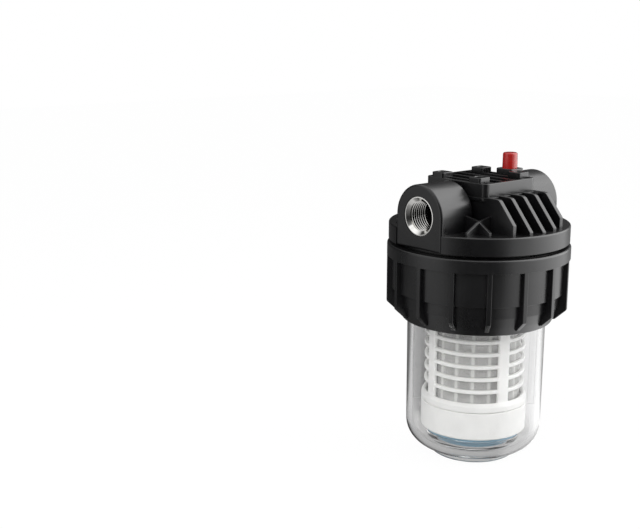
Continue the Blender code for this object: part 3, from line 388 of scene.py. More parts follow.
def black_plastic(name, dark, light, streaks=False):
    """Satin black plastic; streaks adds the upright draw lines of a deep mould."""
    paint, tree, shader, place = new_material(name, {"IOR": PP_IOR})
    tone = add(tree, "ShaderNodeTexNoise", {"Scale": 1 / (FLOW_MM * MM), "Detail": 3.0},
               {"Vector": place}).outputs["Fac"]
    if streaks:
        squeeze = add(tree, "ShaderNodeMapping", {"Scale": (1.0, 1.0, LINE_SQUEEZE)}, {"Vector": place})
        lines = add(tree, "ShaderNodeTexNoise", {"Scale": 1 / (LINE_MM * MM), "Detail": 2.0},
                    {"Vector": squeeze.outputs["Vector"]})
        tone = add(tree, "ShaderNodeMix", {"Factor": LINE_SHARE}, {"A": tone, "B": lines.outputs["Fac"]},
                   data_type="FLOAT").outputs["Result"]
    gloss = add(tree, "ShaderNodeMapRange",
                {"From Min": 0.3, "From Max": 0.7, "To Min": 0.26, "To Max": 0.34}, {"Value": tone})
    tree.links.new(gloss.outputs["Result"], shader.inputs["Roughness"])
    two_toned(tree, shader, tone, 0.15, dark, light)
    grained(tree, shader, place, BLACK_GRAIN_MM, strength=0.06)
    return paint


black_head_pp = black_plastic("black_moulded_polypropylene", "#080809", "#0e0e0f")
black_collar_pp = black_plastic("black_polypropylene_draw_lines", "#0a0a0b", "#131314", streaks=True)

# %% [markdown]
# ### Clear styrene-acrylonitrile, injection moulded
#
# The bowl is a clear, hard styrene plastic with an index of refraction of 1.57. It is polished by
# its mould, so it is very smooth, but the wall is never quite even: a broad, shallow waviness
# makes reflections and the bent lines at its edges a little lively.

# %% Clear bowl plastic
WAVE_MM, WAVE_DEPTH_MM = 30.0, 0.4
clear_styrene, tree, shader, place = new_material("clear_moulded_styrene", {
    "Base Color": srgb("#fcfcfc"), "Roughness": 0.02, "IOR": 1.57, "Transmission Weight": 1.0})
grained(tree, shader, place, WAVE_MM, 0.15, WAVE_DEPTH_MM, detail=1.0)

# %% [markdown]
# ### White polypropylene
#
# The cartridge is natural white polypropylene. Its face is satin with a shallow grain, which is
# finer in truth and is drawn at 0.6 mm to show, and the moulding has a faint unevenness of tone.

# %% White polypropylene
WHITE_CLOUD_MM, WHITE_GRAIN_MM = 14.0, 0.6
white_pp, tree, shader, place = new_material("white_moulded_polypropylene",
                                             {"Roughness": 0.42, "IOR": PP_IOR})
cloud = add(tree, "ShaderNodeTexNoise", {"Scale": 1 / (WHITE_CLOUD_MM * MM), "Detail": 3.0},
            {"Vector": place})
two_toned(tree, shader, cloud.outputs["Fac"], 0.2, "#f0f0ee", "#f8f8f6")
grained(tree, shader, place, WHITE_GRAIN_MM, strength=0.05)

# %% [markdown]
# ### Woven wire mesh
#
# The sleeve is woven from wire of about 0.05 mm, far too fine for the picture, so the weave is
# drawn at 0.7 mm. It is worked out around the cartridge: the angle times the radius counts the
# upright wires and the height counts the rings. Between the wires the mesh is open. Where it lies
# on a white bar of the inner frame, a paler and denser line is painted into the mesh itself: painted
# light that stands in for the lit bar showing through.

# %% Woven mesh
WEAVE_MM = 0.7
# The third cover is for the painted light line over each bar of the inner frame.
GAP_COVER, WIRE_COVER, PAINTED_BAR_COVER = 0.2, 0.48, 0.58
CORE_BARS, BAR_ANGLE = 18, -139.4
sleeve_low, sleeve_high = reach("mesh_sleeve")
SLEEVE_R = sleeve_high.y


def around_and_up(tree, place):
    """The angle of a place around the filter, and its height."""
    parts = add(tree, "ShaderNodeSeparateXYZ", links={"Vector": place})
    angle = add(tree, "ShaderNodeMath", links={0: parts.outputs["Y"], 1: parts.outputs["X"]},
                operation="ARCTAN2")
    return angle.outputs[0], parts.outputs["Z"]


def woven_wire():
    """Crossed waves for the wires, open between them, with a painted light line over each bar of the inner
    frame.
    """
    paint, tree, shader, place = new_material("woven_steel_mesh", {"Roughness": 0.5})
    angle, height = around_and_up(tree, place)
    waves = []
    for wave, scale in ((angle, SLEEVE_R / WEAVE_MM * math.pi), (height, math.pi / (WEAVE_MM * MM))):
        for operation, values in (("MULTIPLY", {1: scale}), ("SINE", {}), ("ABSOLUTE", {})):
            wave = add(tree, "ShaderNodeMath", values, {0: wave}, operation=operation).outputs[0]
        waves.append(wave)
    wires = add(tree, "ShaderNodeMath", links={0: waves[0], 1: waves[1]}, operation="MAXIMUM")
    cover = add(tree, "ShaderNodeMapRange",
                {"From Min": 0.3, "From Max": 0.95, "To Min": GAP_COVER, "To Max": WIRE_COVER},
                {"Value": wires.outputs[0]})
    # Painted light: a paler, denser line where the mesh lies over a bar of the inner frame, in place of
    # the lit bar seen through it.
    near = angle
    for operation, values in (("SUBTRACT", {1: math.radians(BAR_ANGLE)}), ("MULTIPLY", {1: CORE_BARS}),
                              ("COSINE", {})):
        near = add(tree, "ShaderNodeMath", values, {0: near}, operation=operation).outputs[0]
    painted_bar_light = add(tree, "ShaderNodeMapRange", {"From Min": 0.6, "From Max": 0.92},
                 {"Value": near}).outputs["Result"]
    painted_bar_cover = add(tree, "ShaderNodeMath", {1: PAINTED_BAR_COVER}, {0: painted_bar_light}, operation="MULTIPLY")
    whole = add(tree, "ShaderNodeMath", links={0: cover.outputs["Result"], 1: painted_bar_cover.outputs[0]},
                operation="MAXIMUM")
    # The paler colour is the painted light over a bar; the darker one is the mesh itself.
    colour = add(tree, "ShaderNodeMix", {6: srgb("#bcbcba"), 7: srgb("#dededc")}, {0: painted_bar_light},
                 data_type="RGBA")
    tree.links.new(whole.outputs[0], shader.inputs["Alpha"])
    tree.links.new(colour.outputs[2], shader.inputs["Base Color"])
    return paint


woven_mesh = woven_wire()

# %% [markdown]
# ### Nickel plate, spring steel, rubber, gasket and button
#
# The port inserts are brass with a bright nickel plate: nearly a mirror and faintly warm. The small
# works of the valve are drawn steel wire. The seals are black rubber, and the cartridge stands on
# a pale blue silicone gasket. The button is glossy red plastic. The grain of all of them is finer
# in truth and is drawn at 0.5 mm to show.

# %% Metals, rubber and the button
CLOUD_MM, FINE_GRAIN_MM = 8.0, 0.5
GLOSS_SPREAD = 0.15


def plain_finish(name, colour, roughness, values, grain=0.05):
    """A finish of one colour whose gloss and surface wander a little."""
    paint, tree, shader, place = new_material(name, {"Base Color": srgb(colour), **values})
    cloud = add(tree, "ShaderNodeTexNoise", {"Scale": 1 / (CLOUD_MM * MM), "Detail": 3.0},
                {"Vector": place})
    gloss = add(tree, "ShaderNodeMapRange",
                {"From Min": 0.3, "From Max": 0.7, "To Min": roughness * (1 - GLOSS_SPREAD),
                 "To Max": roughness * (1 + GLOSS_SPREAD)}, {"Value": cloud.outputs["Fac"]})
    tree.links.new(gloss.outputs["Result"], shader.inputs["Roughness"])
    grained(tree, shader, place, FINE_GRAIN_MM, grain)
    return paint


nickel = plain_finish("bright_nickel_plate", "#e2e1de", 0.11, {"Metallic": 1.0})
wire_steel = plain_finish("drawn_spring_steel", "#c2c2c4", 0.28, {"Metallic": 1.0})
seal_rubber = plain_finish("black_nitrile_rubber", "#161616", 0.62, {"IOR": 1.52}, grain=0.15)
blue_silicone = plain_finish("blue_silicone", "#8fbcd4", 0.35, {"IOR": 1.41, "Transmission Weight": 0.3})
red_abs = plain_finish("red_glossy_abs", "#98100c", 0.24, {"IOR": 1.54}, grain=0.02)

# %% [markdown]
# ## The head
#
# The head is one moulding, so it is built as one: a turned blank with flange and skirt, then the
# two port barrels, the pipe between them, fins, braces and the mounting plate, each softened and
# fused on. The water ways are cut last, as the mould's cores leave them.

# %% Head: flange and skirt
head_low, head_high = reach("head")
insert_low, insert_high = reach("inlet_insert")
bowl_high = reach("bowl")[1]
gasket_low, gasket_high = reach("upper_gasket")
PORT_Z = (insert_low.z + insert_high.z) / 2
FACE_X, HEAD_R, BOSS_TOP_Z = head_high
SKIRT_Z = head_low.z
HEAD_Z = SKIRT_Z + 22.4
HEAD_TOP_Z = HEAD_Z + 11.4
SKIRT_R, SKIRT_BORE_R = 52.0, 47.0
head = turned("moulded_head", rounded(
    (0.0, SKIRT_Z), (SKIRT_R, SKIRT_Z, 0.6), (SKIRT_R, HEAD_Z), (HEAD_R, HEAD_Z, 0.6),
    (HEAD_R, HEAD_TOP_Z, 1.0), (0.0, HEAD_TOP_Z)), closed=False)

# %% [markdown]
# The port barrels are round on top and run straight down the flange's edge. The flange is notched
# first, so that the round of a barrel's face reaches all the way to its lower edge.

# %% Head: port barrels
BARREL_R, BARREL_IN_X, BARREL_EDGE_R = 19.7, 27.0, 1.6
BARREL_STEPS = 48
NOTCH_X = SKIRT_R + 0.5
HAIR = 0.05       # keeps two faces from lying in one plane, where a Boolean can fail
PAST = 2.0        # how far a cutting shape stands out of what it cuts


def barrel_outline(radius, low):
    """Half a circle over straight sides, as (y, z)."""
    return arc(0, PORT_Z, radius, 0, math.pi, BARREL_STEPS) + [(-radius, low), (radius, low)]


for side in (-1, 1):
    notch_y = BARREL_R - HAIR
    notch_shape = [(side * x, y) for x, y in ((NOTCH_X, -notch_y), (HEAD_R + PAST, -notch_y),
                                              (HEAD_R + PAST, notch_y), (NOTCH_X, notch_y))]
    cut(head, prism("notch", level(notch_shape, HEAD_Z - 1), z=HEAD_TOP_Z - HEAD_Z + 2))
    barrel = prism("barrel", facing_x(barrel_outline(BARREL_R, HEAD_Z + HAIR), side * BARREL_IN_X),
                   x=side * (FACE_X - BARREL_IN_X))
    fuse(head, soften(barrel, BARREL_EDGE_R, segments=4))

CORE_PIPE_R = 14.0
pipe_outline = barrel_outline(CORE_PIPE_R, HEAD_TOP_Z - 1)
fuse(head, prism("core_pipe", facing_x(pipe_outline, -BARREL_IN_X - 1), x=2 * BARREL_IN_X + 2))
print("head with barrels:", len(head.data.polygons), "faces")

# %% [markdown]
# Five tall fins run under the plate and slope down to the flange. In each corner a low fin is
# crossed by a brace, which shows as an X from outside.

# %% Head: fins and braces
FIN_T, FIN_PITCH, FIN_COUNT = 3.0, 11.0, 5
FIN_TOP_Z = PORT_Z + 11.6
FIN_KNEE_Y, FIN_KNEE_ROUND = 36.5, 4.0
FIN_FOOT_Y, FIN_FOOT_H = HEAD_R - 4.6, 0.6
FIN_TRIM_R = HEAD_R - 4.1
root_z = HEAD_TOP_Z - 1.0
fin_slope = (FIN_TOP_Z - HEAD_TOP_Z - FIN_FOOT_H) / (FIN_FOOT_Y - FIN_KNEE_Y)
for index in range(FIN_COUNT):
    fin_x = FIN_PITCH * (index - (FIN_COUNT - 1) / 2)
    end = min(FIN_FOOT_Y, math.sqrt(FIN_TRIM_R ** 2 - (abs(fin_x) + FIN_T / 2) ** 2))
    end_z = FIN_TOP_Z - fin_slope * (end - FIN_KNEE_Y)
    outline = rounded((-end, root_z), (end, root_z), (end, end_z, 1.0),
                      (FIN_KNEE_Y, FIN_TOP_Z, FIN_KNEE_ROUND), (-FIN_KNEE_Y, FIN_TOP_Z, FIN_KNEE_ROUND),
                      (-end, end_z, 1.0))
    fuse(head, soften(prism("fin", facing_x(outline, fin_x - FIN_T / 2), x=FIN_T), 0.4, 2))

BRACE_T, BRACE_Y, BRACE_BEND_R = 2.2, 30.0, 8.0
LOW_FIN_END_R, BRACE_END_R, BRACE_END_GAP = 51.5, 54.0, 0.6
HIGH_Z, MID_Z, LOW_Z = HEAD_TOP_Z + 10.1, HEAD_TOP_Z + 8.1, HEAD_TOP_Z + 2.0
low_x = FIN_PITCH * (FIN_COUNT + 1) / 2
start_y = BARREL_R - 1.0
start_x = FIN_PITCH * (FIN_COUNT - 1) / 2
end_y = math.sqrt(LOW_FIN_END_R ** 2 - low_x ** 2)
end_x = math.sqrt(BRACE_END_R ** 2 - BRACE_Y ** 2) - BRACE_END_GAP


def brace_outline(side, start, bend, end):
    """A low fin's shape on one side: high at its start, bent where it crosses, low at its end."""
    return [(side * along, z) for along, z in rounded(
        (start, root_z), (end, root_z), (end, LOW_Z), (bend, MID_Z, BRACE_BEND_R), (start, HIGH_Z))]


for side_x in (-1, 1):
    for side_y in (-1, 1):
        low_fin = facing_x(brace_outline(side_y, start_y, BRACE_Y, end_y), side_x * low_x - BRACE_T / 2)
        brace = facing_y(brace_outline(side_x, start_x, low_x, end_x), side_y * BRACE_Y - BRACE_T / 2)
        fuse(head, soften(prism("low_fin", low_fin, x=BRACE_T), 0.35, 2),
             soften(prism("brace", brace, y=BRACE_T), 0.35, 2))
print("head with fins:", len(head.data.polygons), "faces")

# %% [markdown]
# On top stands the mounting plate: an open tray with upright ribs, on a thin ledge, and four
# square bosses that take the screws of a wall bracket. The button's boss is a fifth one.

# %% Head: plate and bosses
PLATE_X, PLATE_Y, PLATE_CORNER_R = 47.0, 52.0, 4.0
PLATE_TOP_Z = PORT_Z + 19.65
LEDGE_Z, LEDGE_T, LEDGE_OUT = FIN_TOP_Z - 0.4, 2.0, 1.4
PLATE_RIM, POCKET_DEPTH = 2.4, 6.5
RIB_XS, RIB_T = (-15.0, -5.0, 5.0, 15.0), 3.0
tray = soften(prism("tray", level(round_square(PLATE_X, PLATE_Y, PLATE_CORNER_R), LEDGE_Z - 1),
                    z=PLATE_TOP_Z - LEDGE_Z + 1), 0.5)
inside_x = PLATE_X / 2 - PLATE_RIM
marks = [-inside_x] + [x + half for x in RIB_XS for half in (-RIB_T / 2, RIB_T / 2)] + [inside_x]
for low, high in zip(marks[::2], marks[1::2]):
    shape = round_square(high - low, PLATE_Y - 2 * PLATE_RIM, 1.0, (low + high) / 2)
    cut(tray, prism("pocket", level(shape, PLATE_TOP_Z - POCKET_DEPTH), z=POCKET_DEPTH + PAST))
ledge_shape = round_square(PLATE_X + 2 * LEDGE_OUT, PLATE_Y + 2 * LEDGE_OUT, PLATE_CORNER_R)
ledge = soften(prism("ledge", level(ledge_shape, LEDGE_Z - LEDGE_T), z=LEDGE_T), 0.35, 2)
fuse(head, ledge, tray)

BOSS_PLACES = [(x, y) for x in (-18.3, 18.3) for y in (-15.75, 15.75)]
BOSS_W, BOSS_CORNER_R = 10.0, 1.6
for x, y in BOSS_PLACES:
    shape = round_square(BOSS_W, BOSS_W, BOSS_CORNER_R, x, y)
    fuse(head, soften(prism("boss", level(shape, FIN_TOP_Z - 1), z=BOSS_TOP_Z - FIN_TOP_Z + 1), 0.45))

button_low, button_high = reach("relief_button")
RELIEF_X = (button_low.x + button_high.x) / 2
RELIEF_TOP_Z = PORT_Z + 22.8
RELIEF_W, RELIEF_CORNER_R = 13.2, 2.0
relief_shape = round_square(RELIEF_W, RELIEF_W, RELIEF_CORNER_R, RELIEF_X)
fuse(head, soften(prism("relief_boss", level(relief_shape, FIN_TOP_Z - 2),
                        z=RELIEF_TOP_Z - FIN_TOP_Z + 2), 0.5))
print("head with plate:", len(head.data.polygons), "faces")

# %% [markdown]
# The water ways: the skirt's bore and the chamber, the seat of each insert with the passage
# behind it, the slot that drops the inlet water around the cartridge, the riser from the
# cartridge's centre, and the stepped bore under the button.

# %% Head: water ways
NECK_ROOM_Z = bowl_high.z + 0.3
CHAMBER_R, CHAMBER_Z = 41.0, HEAD_Z + 4.8
SPIGOT_R, SPIGOT_Z = 14.0, gasket_high.z + 0.3
cut(head, turned("inside", rounded(
    (0.0, SKIRT_Z - 1), (SKIRT_BORE_R + 1.5, SKIRT_Z - 1), (SKIRT_BORE_R, SKIRT_Z + 0.5),
    (SKIRT_BORE_R, NECK_ROOM_Z), (CHAMBER_R, NECK_ROOM_Z), (CHAMBER_R, CHAMBER_Z, 1.0),
    (SPIGOT_R, CHAMBER_Z, 1.0), (SPIGOT_R, SPIGOT_Z), (0.0, SPIGOT_Z)), closed=False))

PASSAGE_R, SEAT_R, RIM_R = 8.5, 13.7, 12.5
SEAT_X, STEP_X = 38.3, 52.7
DROP_X, DROP_W, DROP_CORNER_R = 24.0, 14.0, 3.0
for side, inner in ((1, DROP_X), (-1, 0.0)):
    profile = [(side * x, r) for x, r in ((inner, 0.0), (inner, PASSAGE_R), (SEAT_X, PASSAGE_R),
                                          (SEAT_X, SEAT_R), (STEP_X, SEAT_R), (STEP_X, RIM_R),
                                          (FACE_X + 1, RIM_R), (FACE_X + 1, 0.0))]
    cut(head, turned_along_x("port", profile, PORT_Z, steps=96, closed=False))
drop_shape = round_square(DROP_W, DROP_W, DROP_CORNER_R, DROP_X + DROP_W / 2)

RISER_R = 9.0
BUTTON_BORE_R, STEM_HOLE_R, VALVE_ROOM_R = 5.25, 2.3, 4.2
VALVE_SEAT_Z = PORT_Z + 9.5
bush_low = reach("relief_gland_bush")[0]
BORE_FLOOR_Z = bush_low.z - 0.3
GLAND_R, GLAND_DEPTH = 3.9, 2.5
riser_profile = [(0.0, SPIGOT_Z - 1), (RISER_R, SPIGOT_Z - 1), (RISER_R, PORT_Z), (0.0, PORT_Z)]
button_bore = [(0.0, PORT_Z), (VALVE_ROOM_R, PORT_Z), (VALVE_ROOM_R, VALVE_SEAT_Z),
               (STEM_HOLE_R, VALVE_SEAT_Z), (STEM_HOLE_R, BORE_FLOOR_Z - GLAND_DEPTH),
               (GLAND_R, BORE_FLOOR_Z - GLAND_DEPTH), (GLAND_R, BORE_FLOOR_Z),
               (BUTTON_BORE_R, BORE_FLOOR_Z), (BUTTON_BORE_R, RELIEF_TOP_Z - 0.5),
               (BUTTON_BORE_R + 0.7, RELIEF_TOP_Z + 0.2), (0.0, RELIEF_TOP_Z + 0.2)]
cut(head, prism("drop", level(drop_shape, CHAMBER_Z - 1), z=PORT_Z - CHAMBER_Z + 1),
    turned("riser", riser_profile, steps=72, closed=False),
    turned("button_bore", button_bore, steps=48, x=RELIEF_X, closed=False))

SCREW_R, SCREW_DEPTH = 2.8, 12.0
screw_profile = [(0.0, BOSS_TOP_Z - SCREW_DEPTH), (SCREW_R, BOSS_TOP_Z - SCREW_DEPTH),
                 (SCREW_R, BOSS_TOP_Z - 0.4), (SCREW_R + 0.6, BOSS_TOP_Z + 0.2),
                 (0.0, BOSS_TOP_Z + 0.2)]
for x, y in BOSS_PLACES:
    cut(head, placed(turned("screw_hole", screw_profile, steps=40, closed=False), x, y))
dress(head, "head", "black_polypropylene", black_head_pp, "head")

# %% [markdown]
# ## Threads
#
# A thread is a small profile swept along a helix, which is what the Screw modifier does. The
# collar's coarse thread has a pitch of 6 mm. Its two halves interleave: the collar's ridge starts
# half a pitch below the skirt's, so neither touches the other as the collar turns and drops. The
# ports have a standard G 1/2 pipe thread with a pitch of 1.814 mm.

# %% Threads of the skirt and the collar
collar_low, collar_high = reach("collar_nut")
COLLAR_BORE_R = 53.8
COLLAR_PITCH, COLLAR_TURNS = 6.0, 3
THREAD_H, THREAD_ROOT_W, THREAD_CREST_W = 1.2, 3.2, 1.4
THREAD_Z = SKIRT_Z + 2.2
ROOTED = 0.25


def coil(name, profile, pitch, turns, steps):
    """Sweep an outline of (radius, z) up a helix and close its two ends."""
    piece = draw(name, facing_y(profile, 0.0))
    bpy.ops.object.mode_set(mode="OBJECT")
    apply(piece, "SCREW", screw_offset=pitch * MM, iterations=turns, steps=steps, render_steps=steps,
          use_merge_vertices=False)
    bpy.ops.object.mode_set(mode="EDIT")
    bpy.ops.mesh.select_all(action="SELECT")
    bpy.ops.mesh.fill_holes(sides=0)
    return close_up(piece)


def ridge(name, root_r, crest_r, root_w, crest_w, low, pitch, turns, steps):
    """A helical ridge whose root is sunk a little into the wall that it stands on."""
    outward = 1 if crest_r > root_r else -1
    base_r = root_r - outward * ROOTED
    profile = [(base_r, low - root_w / 2), (root_r, low - root_w / 2), (crest_r, low - crest_w / 2),
               (crest_r, low + crest_w / 2), (root_r, low + root_w / 2), (base_r, low + root_w / 2)]
    return coil(name, profile, pitch, turns, steps)


for name, body, paint, root_r, crest_r, low in (
        ("skirt_thread", "head", black_head_pp, SKIRT_R, SKIRT_R + THREAD_H, THREAD_Z),
        ("collar_thread", "collar", black_collar_pp, COLLAR_BORE_R, COLLAR_BORE_R - THREAD_H,
         THREAD_Z - COLLAR_PITCH / 2)):
    thread = ridge(name, root_r, crest_r, THREAD_ROOT_W, THREAD_CREST_W, low, COLLAR_PITCH,
                   COLLAR_TURNS, steps=96)
    dress(thread, body, "black_polypropylene", paint)

# %% [markdown]
# The inserts are turned from brass bar, with a stepped rim, a conical mouth and the pipe thread
# behind it. The thread's ridge is fused to the wall, so that each insert is one solid.

# %% Port inserts
PIPE_PITCH = 1.814
PIPE_MAJOR_R, PIPE_MINOR_R, PIPE_ROOT_W, PIPE_CREST_W = 10.48, 9.3, 1.5, 0.3
BODY_R, INSERT_RIM_R, RIM_L = 13.4, 12.2, 2.2
MOUTH_R, MOUTH_L = 11.5, 1.7
inner, outer = insert_low.x, insert_high.x
SEAL_X, SEAL_W, SEAL_FLOOR_R = inner + 3.6, 2.1, BODY_R - 1.8
pipe_turns = int((outer - inner - MOUTH_L - PIPE_ROOT_W) / PIPE_PITCH)
thread_start = outer - MOUTH_L - PIPE_ROOT_W / 2 - pipe_turns * PIPE_PITCH
insert_profile = rounded(
    (inner, PIPE_MAJOR_R), (inner, BODY_R, 0.3), (SEAL_X, BODY_R), (SEAL_X, SEAL_FLOOR_R),
    (SEAL_X + SEAL_W, SEAL_FLOOR_R), (SEAL_X + SEAL_W, BODY_R), (outer - RIM_L, BODY_R),
    (outer - RIM_L, INSERT_RIM_R), (outer, INSERT_RIM_R, 0.15), (outer, MOUTH_R, 0.15),
    (outer - MOUTH_L, PIPE_MINOR_R), (outer - MOUTH_L, PIPE_MAJOR_R))
for side, node, name in ((1, "inlet_insert", "inlet_thread_insert"),
                         (-1, "outlet_insert", "outlet_thread_insert")):
    insert = turned_along_x(name, [(side * x, r) for x, r in insert_profile], PORT_Z, steps=96)
    thread = ridge("pipe_thread", PIPE_MAJOR_R, PIPE_MINOR_R, PIPE_ROOT_W, PIPE_CREST_W, 0.0,
                   PIPE_PITCH, pipe_turns, steps=64)
    fuse(insert, placed(thread, side * thread_start, z=PORT_Z, turn_y=side * math.pi / 2))
    dress(insert, "head", "nickel_plated_brass", nickel, node, angle=25)

# %% [markdown]
# ## The red button
#
# A hollow cap with a round top edge. It tapers by a fifth of a millimetre, as a moulded cap must
# to leave its tool.

# %% Release button
BUTTON_R, BUTTON_TOP_R, BUTTON_IN_R, BUTTON_POST_R = 4.95, 4.75, 3.9, 2.3
CROWN_Z, CROWN_DISH = button_high.z - 6.8, 0.05
POST_Z = reach("relief_stem")[1].z + 0.3
button = turned("red_release_button", rounded(
    (0.0, POST_Z), (BUTTON_POST_R, POST_Z), (BUTTON_POST_R, CROWN_Z), (BUTTON_IN_R, CROWN_Z),
    (BUTTON_IN_R, button_low.z), (BUTTON_R, button_low.z, 0.3), (BUTTON_TOP_R, button_high.z, 1.2),
    (0.0, button_high.z - CROWN_DISH)), steps=64, x=RELIEF_X, closed=False)
dress(button, "button", "red_button", red_abs, "relief_button")

# %% [markdown]
# The spring under the crown is a round wire wound up a helix, drawn with eight sides. When the
# button is pressed by 3 mm, the coil has to give way; here it is drawn at one even pitch, with its
# lower end standing on the gland bush.

# %% Return spring
WIRE_R, WIRE_SIDES, SPRING_TURNS, BUTTON_PRESS = 0.25, 8, 6, 3.0
spring_low, spring_high = reach("relief_spring")
SPRING_R, spring_height = spring_high.y - WIRE_R, spring_high.z - spring_low.z
wire = arc(SPRING_R, spring_low.z + WIRE_R, WIRE_R, 0.0, math.tau * (1 - 1 / WIRE_SIDES), WIRE_SIDES - 1)
spring_pitch = (spring_height - 2 * WIRE_R) / SPRING_TURNS
spring = placed(coil("button_spring", wire, spring_pitch, SPRING_TURNS, steps=24), RELIEF_X)
dress(spring, "head", "spring_steel", wire_steel, "relief_spring", angle=60)
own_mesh(spring)

# %% [markdown]
# ## The collar nut
#
# The collar is turned first, with its band, two steps and the cone that closes around the bowl.
# One grip rib is drawn, softened and copied to sixteen places, and all are fused on together.

# %% Collar nut
SHOULDER_Z = collar_low.z + 21.4
COLLAR_R, BAND_Z = 59.0, collar_high.z - 8.7
WALL_1_R, WALL_2_R, CONE_R, LIP_R = 56.0, 54.0, 51.3, 48.6
STEP_1_Z, STEP_2_Z, CONE_Z = SHOULDER_Z - 1.7, SHOULDER_Z - 9.0, SHOULDER_Z - 15.5
LIP_BORE_R, HOLLOW_R, UNDER_Z = 46.2, 51.2, SHOULDER_Z - 4.0
collar = turned("grip_collar", rounded(
    (COLLAR_BORE_R, SHOULDER_Z), (COLLAR_BORE_R, collar_high.z, 0.6), (COLLAR_R, collar_high.z, 1.4),
    (COLLAR_R, BAND_Z, 0.35), (WALL_1_R, BAND_Z, 0.4), (WALL_1_R, STEP_1_Z, 0.5),
    (WALL_2_R, STEP_1_Z, 0.6), (WALL_2_R, STEP_2_Z, 2.0), (CONE_R, CONE_Z, 4.0),
    (LIP_R, collar_low.z, 1.4), (LIP_BORE_R, collar_low.z, 0.5), (LIP_BORE_R, collar_low.z + 3.0),
    (HOLLOW_R, STEP_2_Z), (HOLLOW_R, UNDER_Z), (LIP_BORE_R, UNDER_Z), (LIP_BORE_R, SHOULDER_Z)),
    steps=160)

RIB_COUNT, RIB_W, RIB_PHASE = 16, 3.0, math.radians(4.6)
RIB_R, RIB_END_R = COLLAR_R - 0.04, 51.8
RIB_BEND_Z, RIB_END_Z = SHOULDER_Z - 11.4, SHOULDER_Z - 18.0
rib_outline = rounded(
    (WALL_1_R - 1, BAND_Z + 1), (WALL_1_R - 1, STEP_1_Z + 1), (WALL_2_R - 1, STEP_1_Z - 1),
    (WALL_2_R - 1, STEP_2_Z), (CONE_R - 1, CONE_Z), (CONE_R - 1.5, RIB_END_Z), (RIB_END_R, RIB_END_Z),
    (RIB_R, RIB_BEND_Z, 1.5), (RIB_R, BAND_Z + 1))
rib = placed(soften(prism("rib", facing_y(rib_outline, -RIB_W / 2), y=RIB_W), 0.4), turn_z=RIB_PHASE)
fuse(collar, gather(*copied(rib, RIB_COUNT)))
dress(collar, "collar", "black_polypropylene", black_collar_pp, "collar_nut")

# %% [markdown]
# ## The clear bowl
#
# One turned wall with a foot ring, a large bottom corner, a seat for the cartridge, a flange that
# the collar lifts and a grooved neck. Clear plastic shows its inside, so the inner wall is drawn
# with as much care as the outer one. Two upright vanes inside keep the cartridge central.

# %% Bowl
BOWL_R, BOWL_DRAFT, BOWL_WALL, BOWL_CORNER_R = 44.6, 0.5, 3.7, 17.0
FOOT_R, FOOT_W, FOOT_H, FLOOR_Z, HOLLOW_Z = 28.0, 3.4, 4.0, 8.0, 3.0
slip_high = reach("slip_ring")[1]
FLANGE_R, FLANGE_Z, FLANGE_TOP_Z = bowl_high.y, slip_high.z + 0.3, SKIRT_Z - 0.3
NECK_R, NECK_Z = 46.4, bowl_high.z
GROOVE_R, GROOVE_LOW, GROOVE_HIGH = 43.4, FLANGE_TOP_Z + 5.0, FLANGE_TOP_Z + 8.6
lower_low, lower_high = reach("lower_gasket")
STAND_R, STAND_W, STAND_Z = 31.0, 6.5, lower_low.z - 0.3
BORE_R = BOWL_R - BOWL_WALL
CORNER_MID_R = BOWL_R - BOWL_CORNER_R
INNER_CORNER_R = BOWL_CORNER_R - BOWL_WALL
CORNER_STEPS = 20
foot_angle = -math.acos((FOOT_R - CORNER_MID_R) / BOWL_CORNER_R)
stand_angle = -math.acos((STAND_R - CORNER_MID_R) / INNER_CORNER_R)
bowl = turned("clear_bowl", rounded(
    (0.0, HOLLOW_Z), (FOOT_R - FOOT_W, HOLLOW_Z, 0.8), (FOOT_R - FOOT_W, 0.0, 0.7), (FOOT_R, 0.0, 0.9),
    *arc(CORNER_MID_R, FOOT_H + BOWL_CORNER_R, BOWL_CORNER_R, foot_angle, 0.0, CORNER_STEPS),
    (BOWL_R + BOWL_DRAFT, FLANGE_Z), (FLANGE_R, FLANGE_Z, 0.5), (FLANGE_R, FLANGE_TOP_Z, 0.5),
    (NECK_R, FLANGE_TOP_Z), (NECK_R, GROOVE_LOW), (GROOVE_R, GROOVE_LOW), (GROOVE_R, GROOVE_HIGH),
    (NECK_R, GROOVE_HIGH), (NECK_R, NECK_Z, 0.6), (BORE_R + BOWL_DRAFT, NECK_Z, 0.5),
    *arc(CORNER_MID_R, FLOOR_Z + INNER_CORNER_R, INNER_CORNER_R, 0.0, stand_angle, CORNER_STEPS),
    (STAND_R, STAND_Z, 0.6), (STAND_R - STAND_W, STAND_Z, 0.6), (STAND_R - STAND_W, FLOOR_Z, 0.8),
    (0.0, FLOOR_Z)), steps=180, closed=False)

VANE_T, VANE_IN_R, VANE_Z, VANE_TOP_Z = 2.0, 36.0, 33.0, FLANGE_Z - 6.0
VANE_ANGLES = (132.0, -48.0)
vane_outline = [(VANE_IN_R, VANE_Z), (BORE_R + 1, VANE_Z), (BORE_R + 1, VANE_TOP_Z),
                (VANE_IN_R, VANE_TOP_Z)]
for angle in VANE_ANGLES:
    vane = soften(prism("vane", facing_y(vane_outline, -VANE_T / 2), y=VANE_T), 0.2, 2)
    fuse(bowl, placed(vane, turn_z=math.radians(angle)))
dress(bowl, "bowl", "clear_bowl", clear_styrene, "bowl", angle=40)
bowl.visible_shadow = False

# %% [markdown]
# ## The cartridge
#
# The cage is drawn as one upright line with a point at each edge of a hoop, spun around, and then
# the faces of the windows are taken out. Solidify gives the wall its thickness inwards and a bevel
# rounds the hoops and posts into moulded bars. Six steps of the spin make a post and thirty-three
# a window.

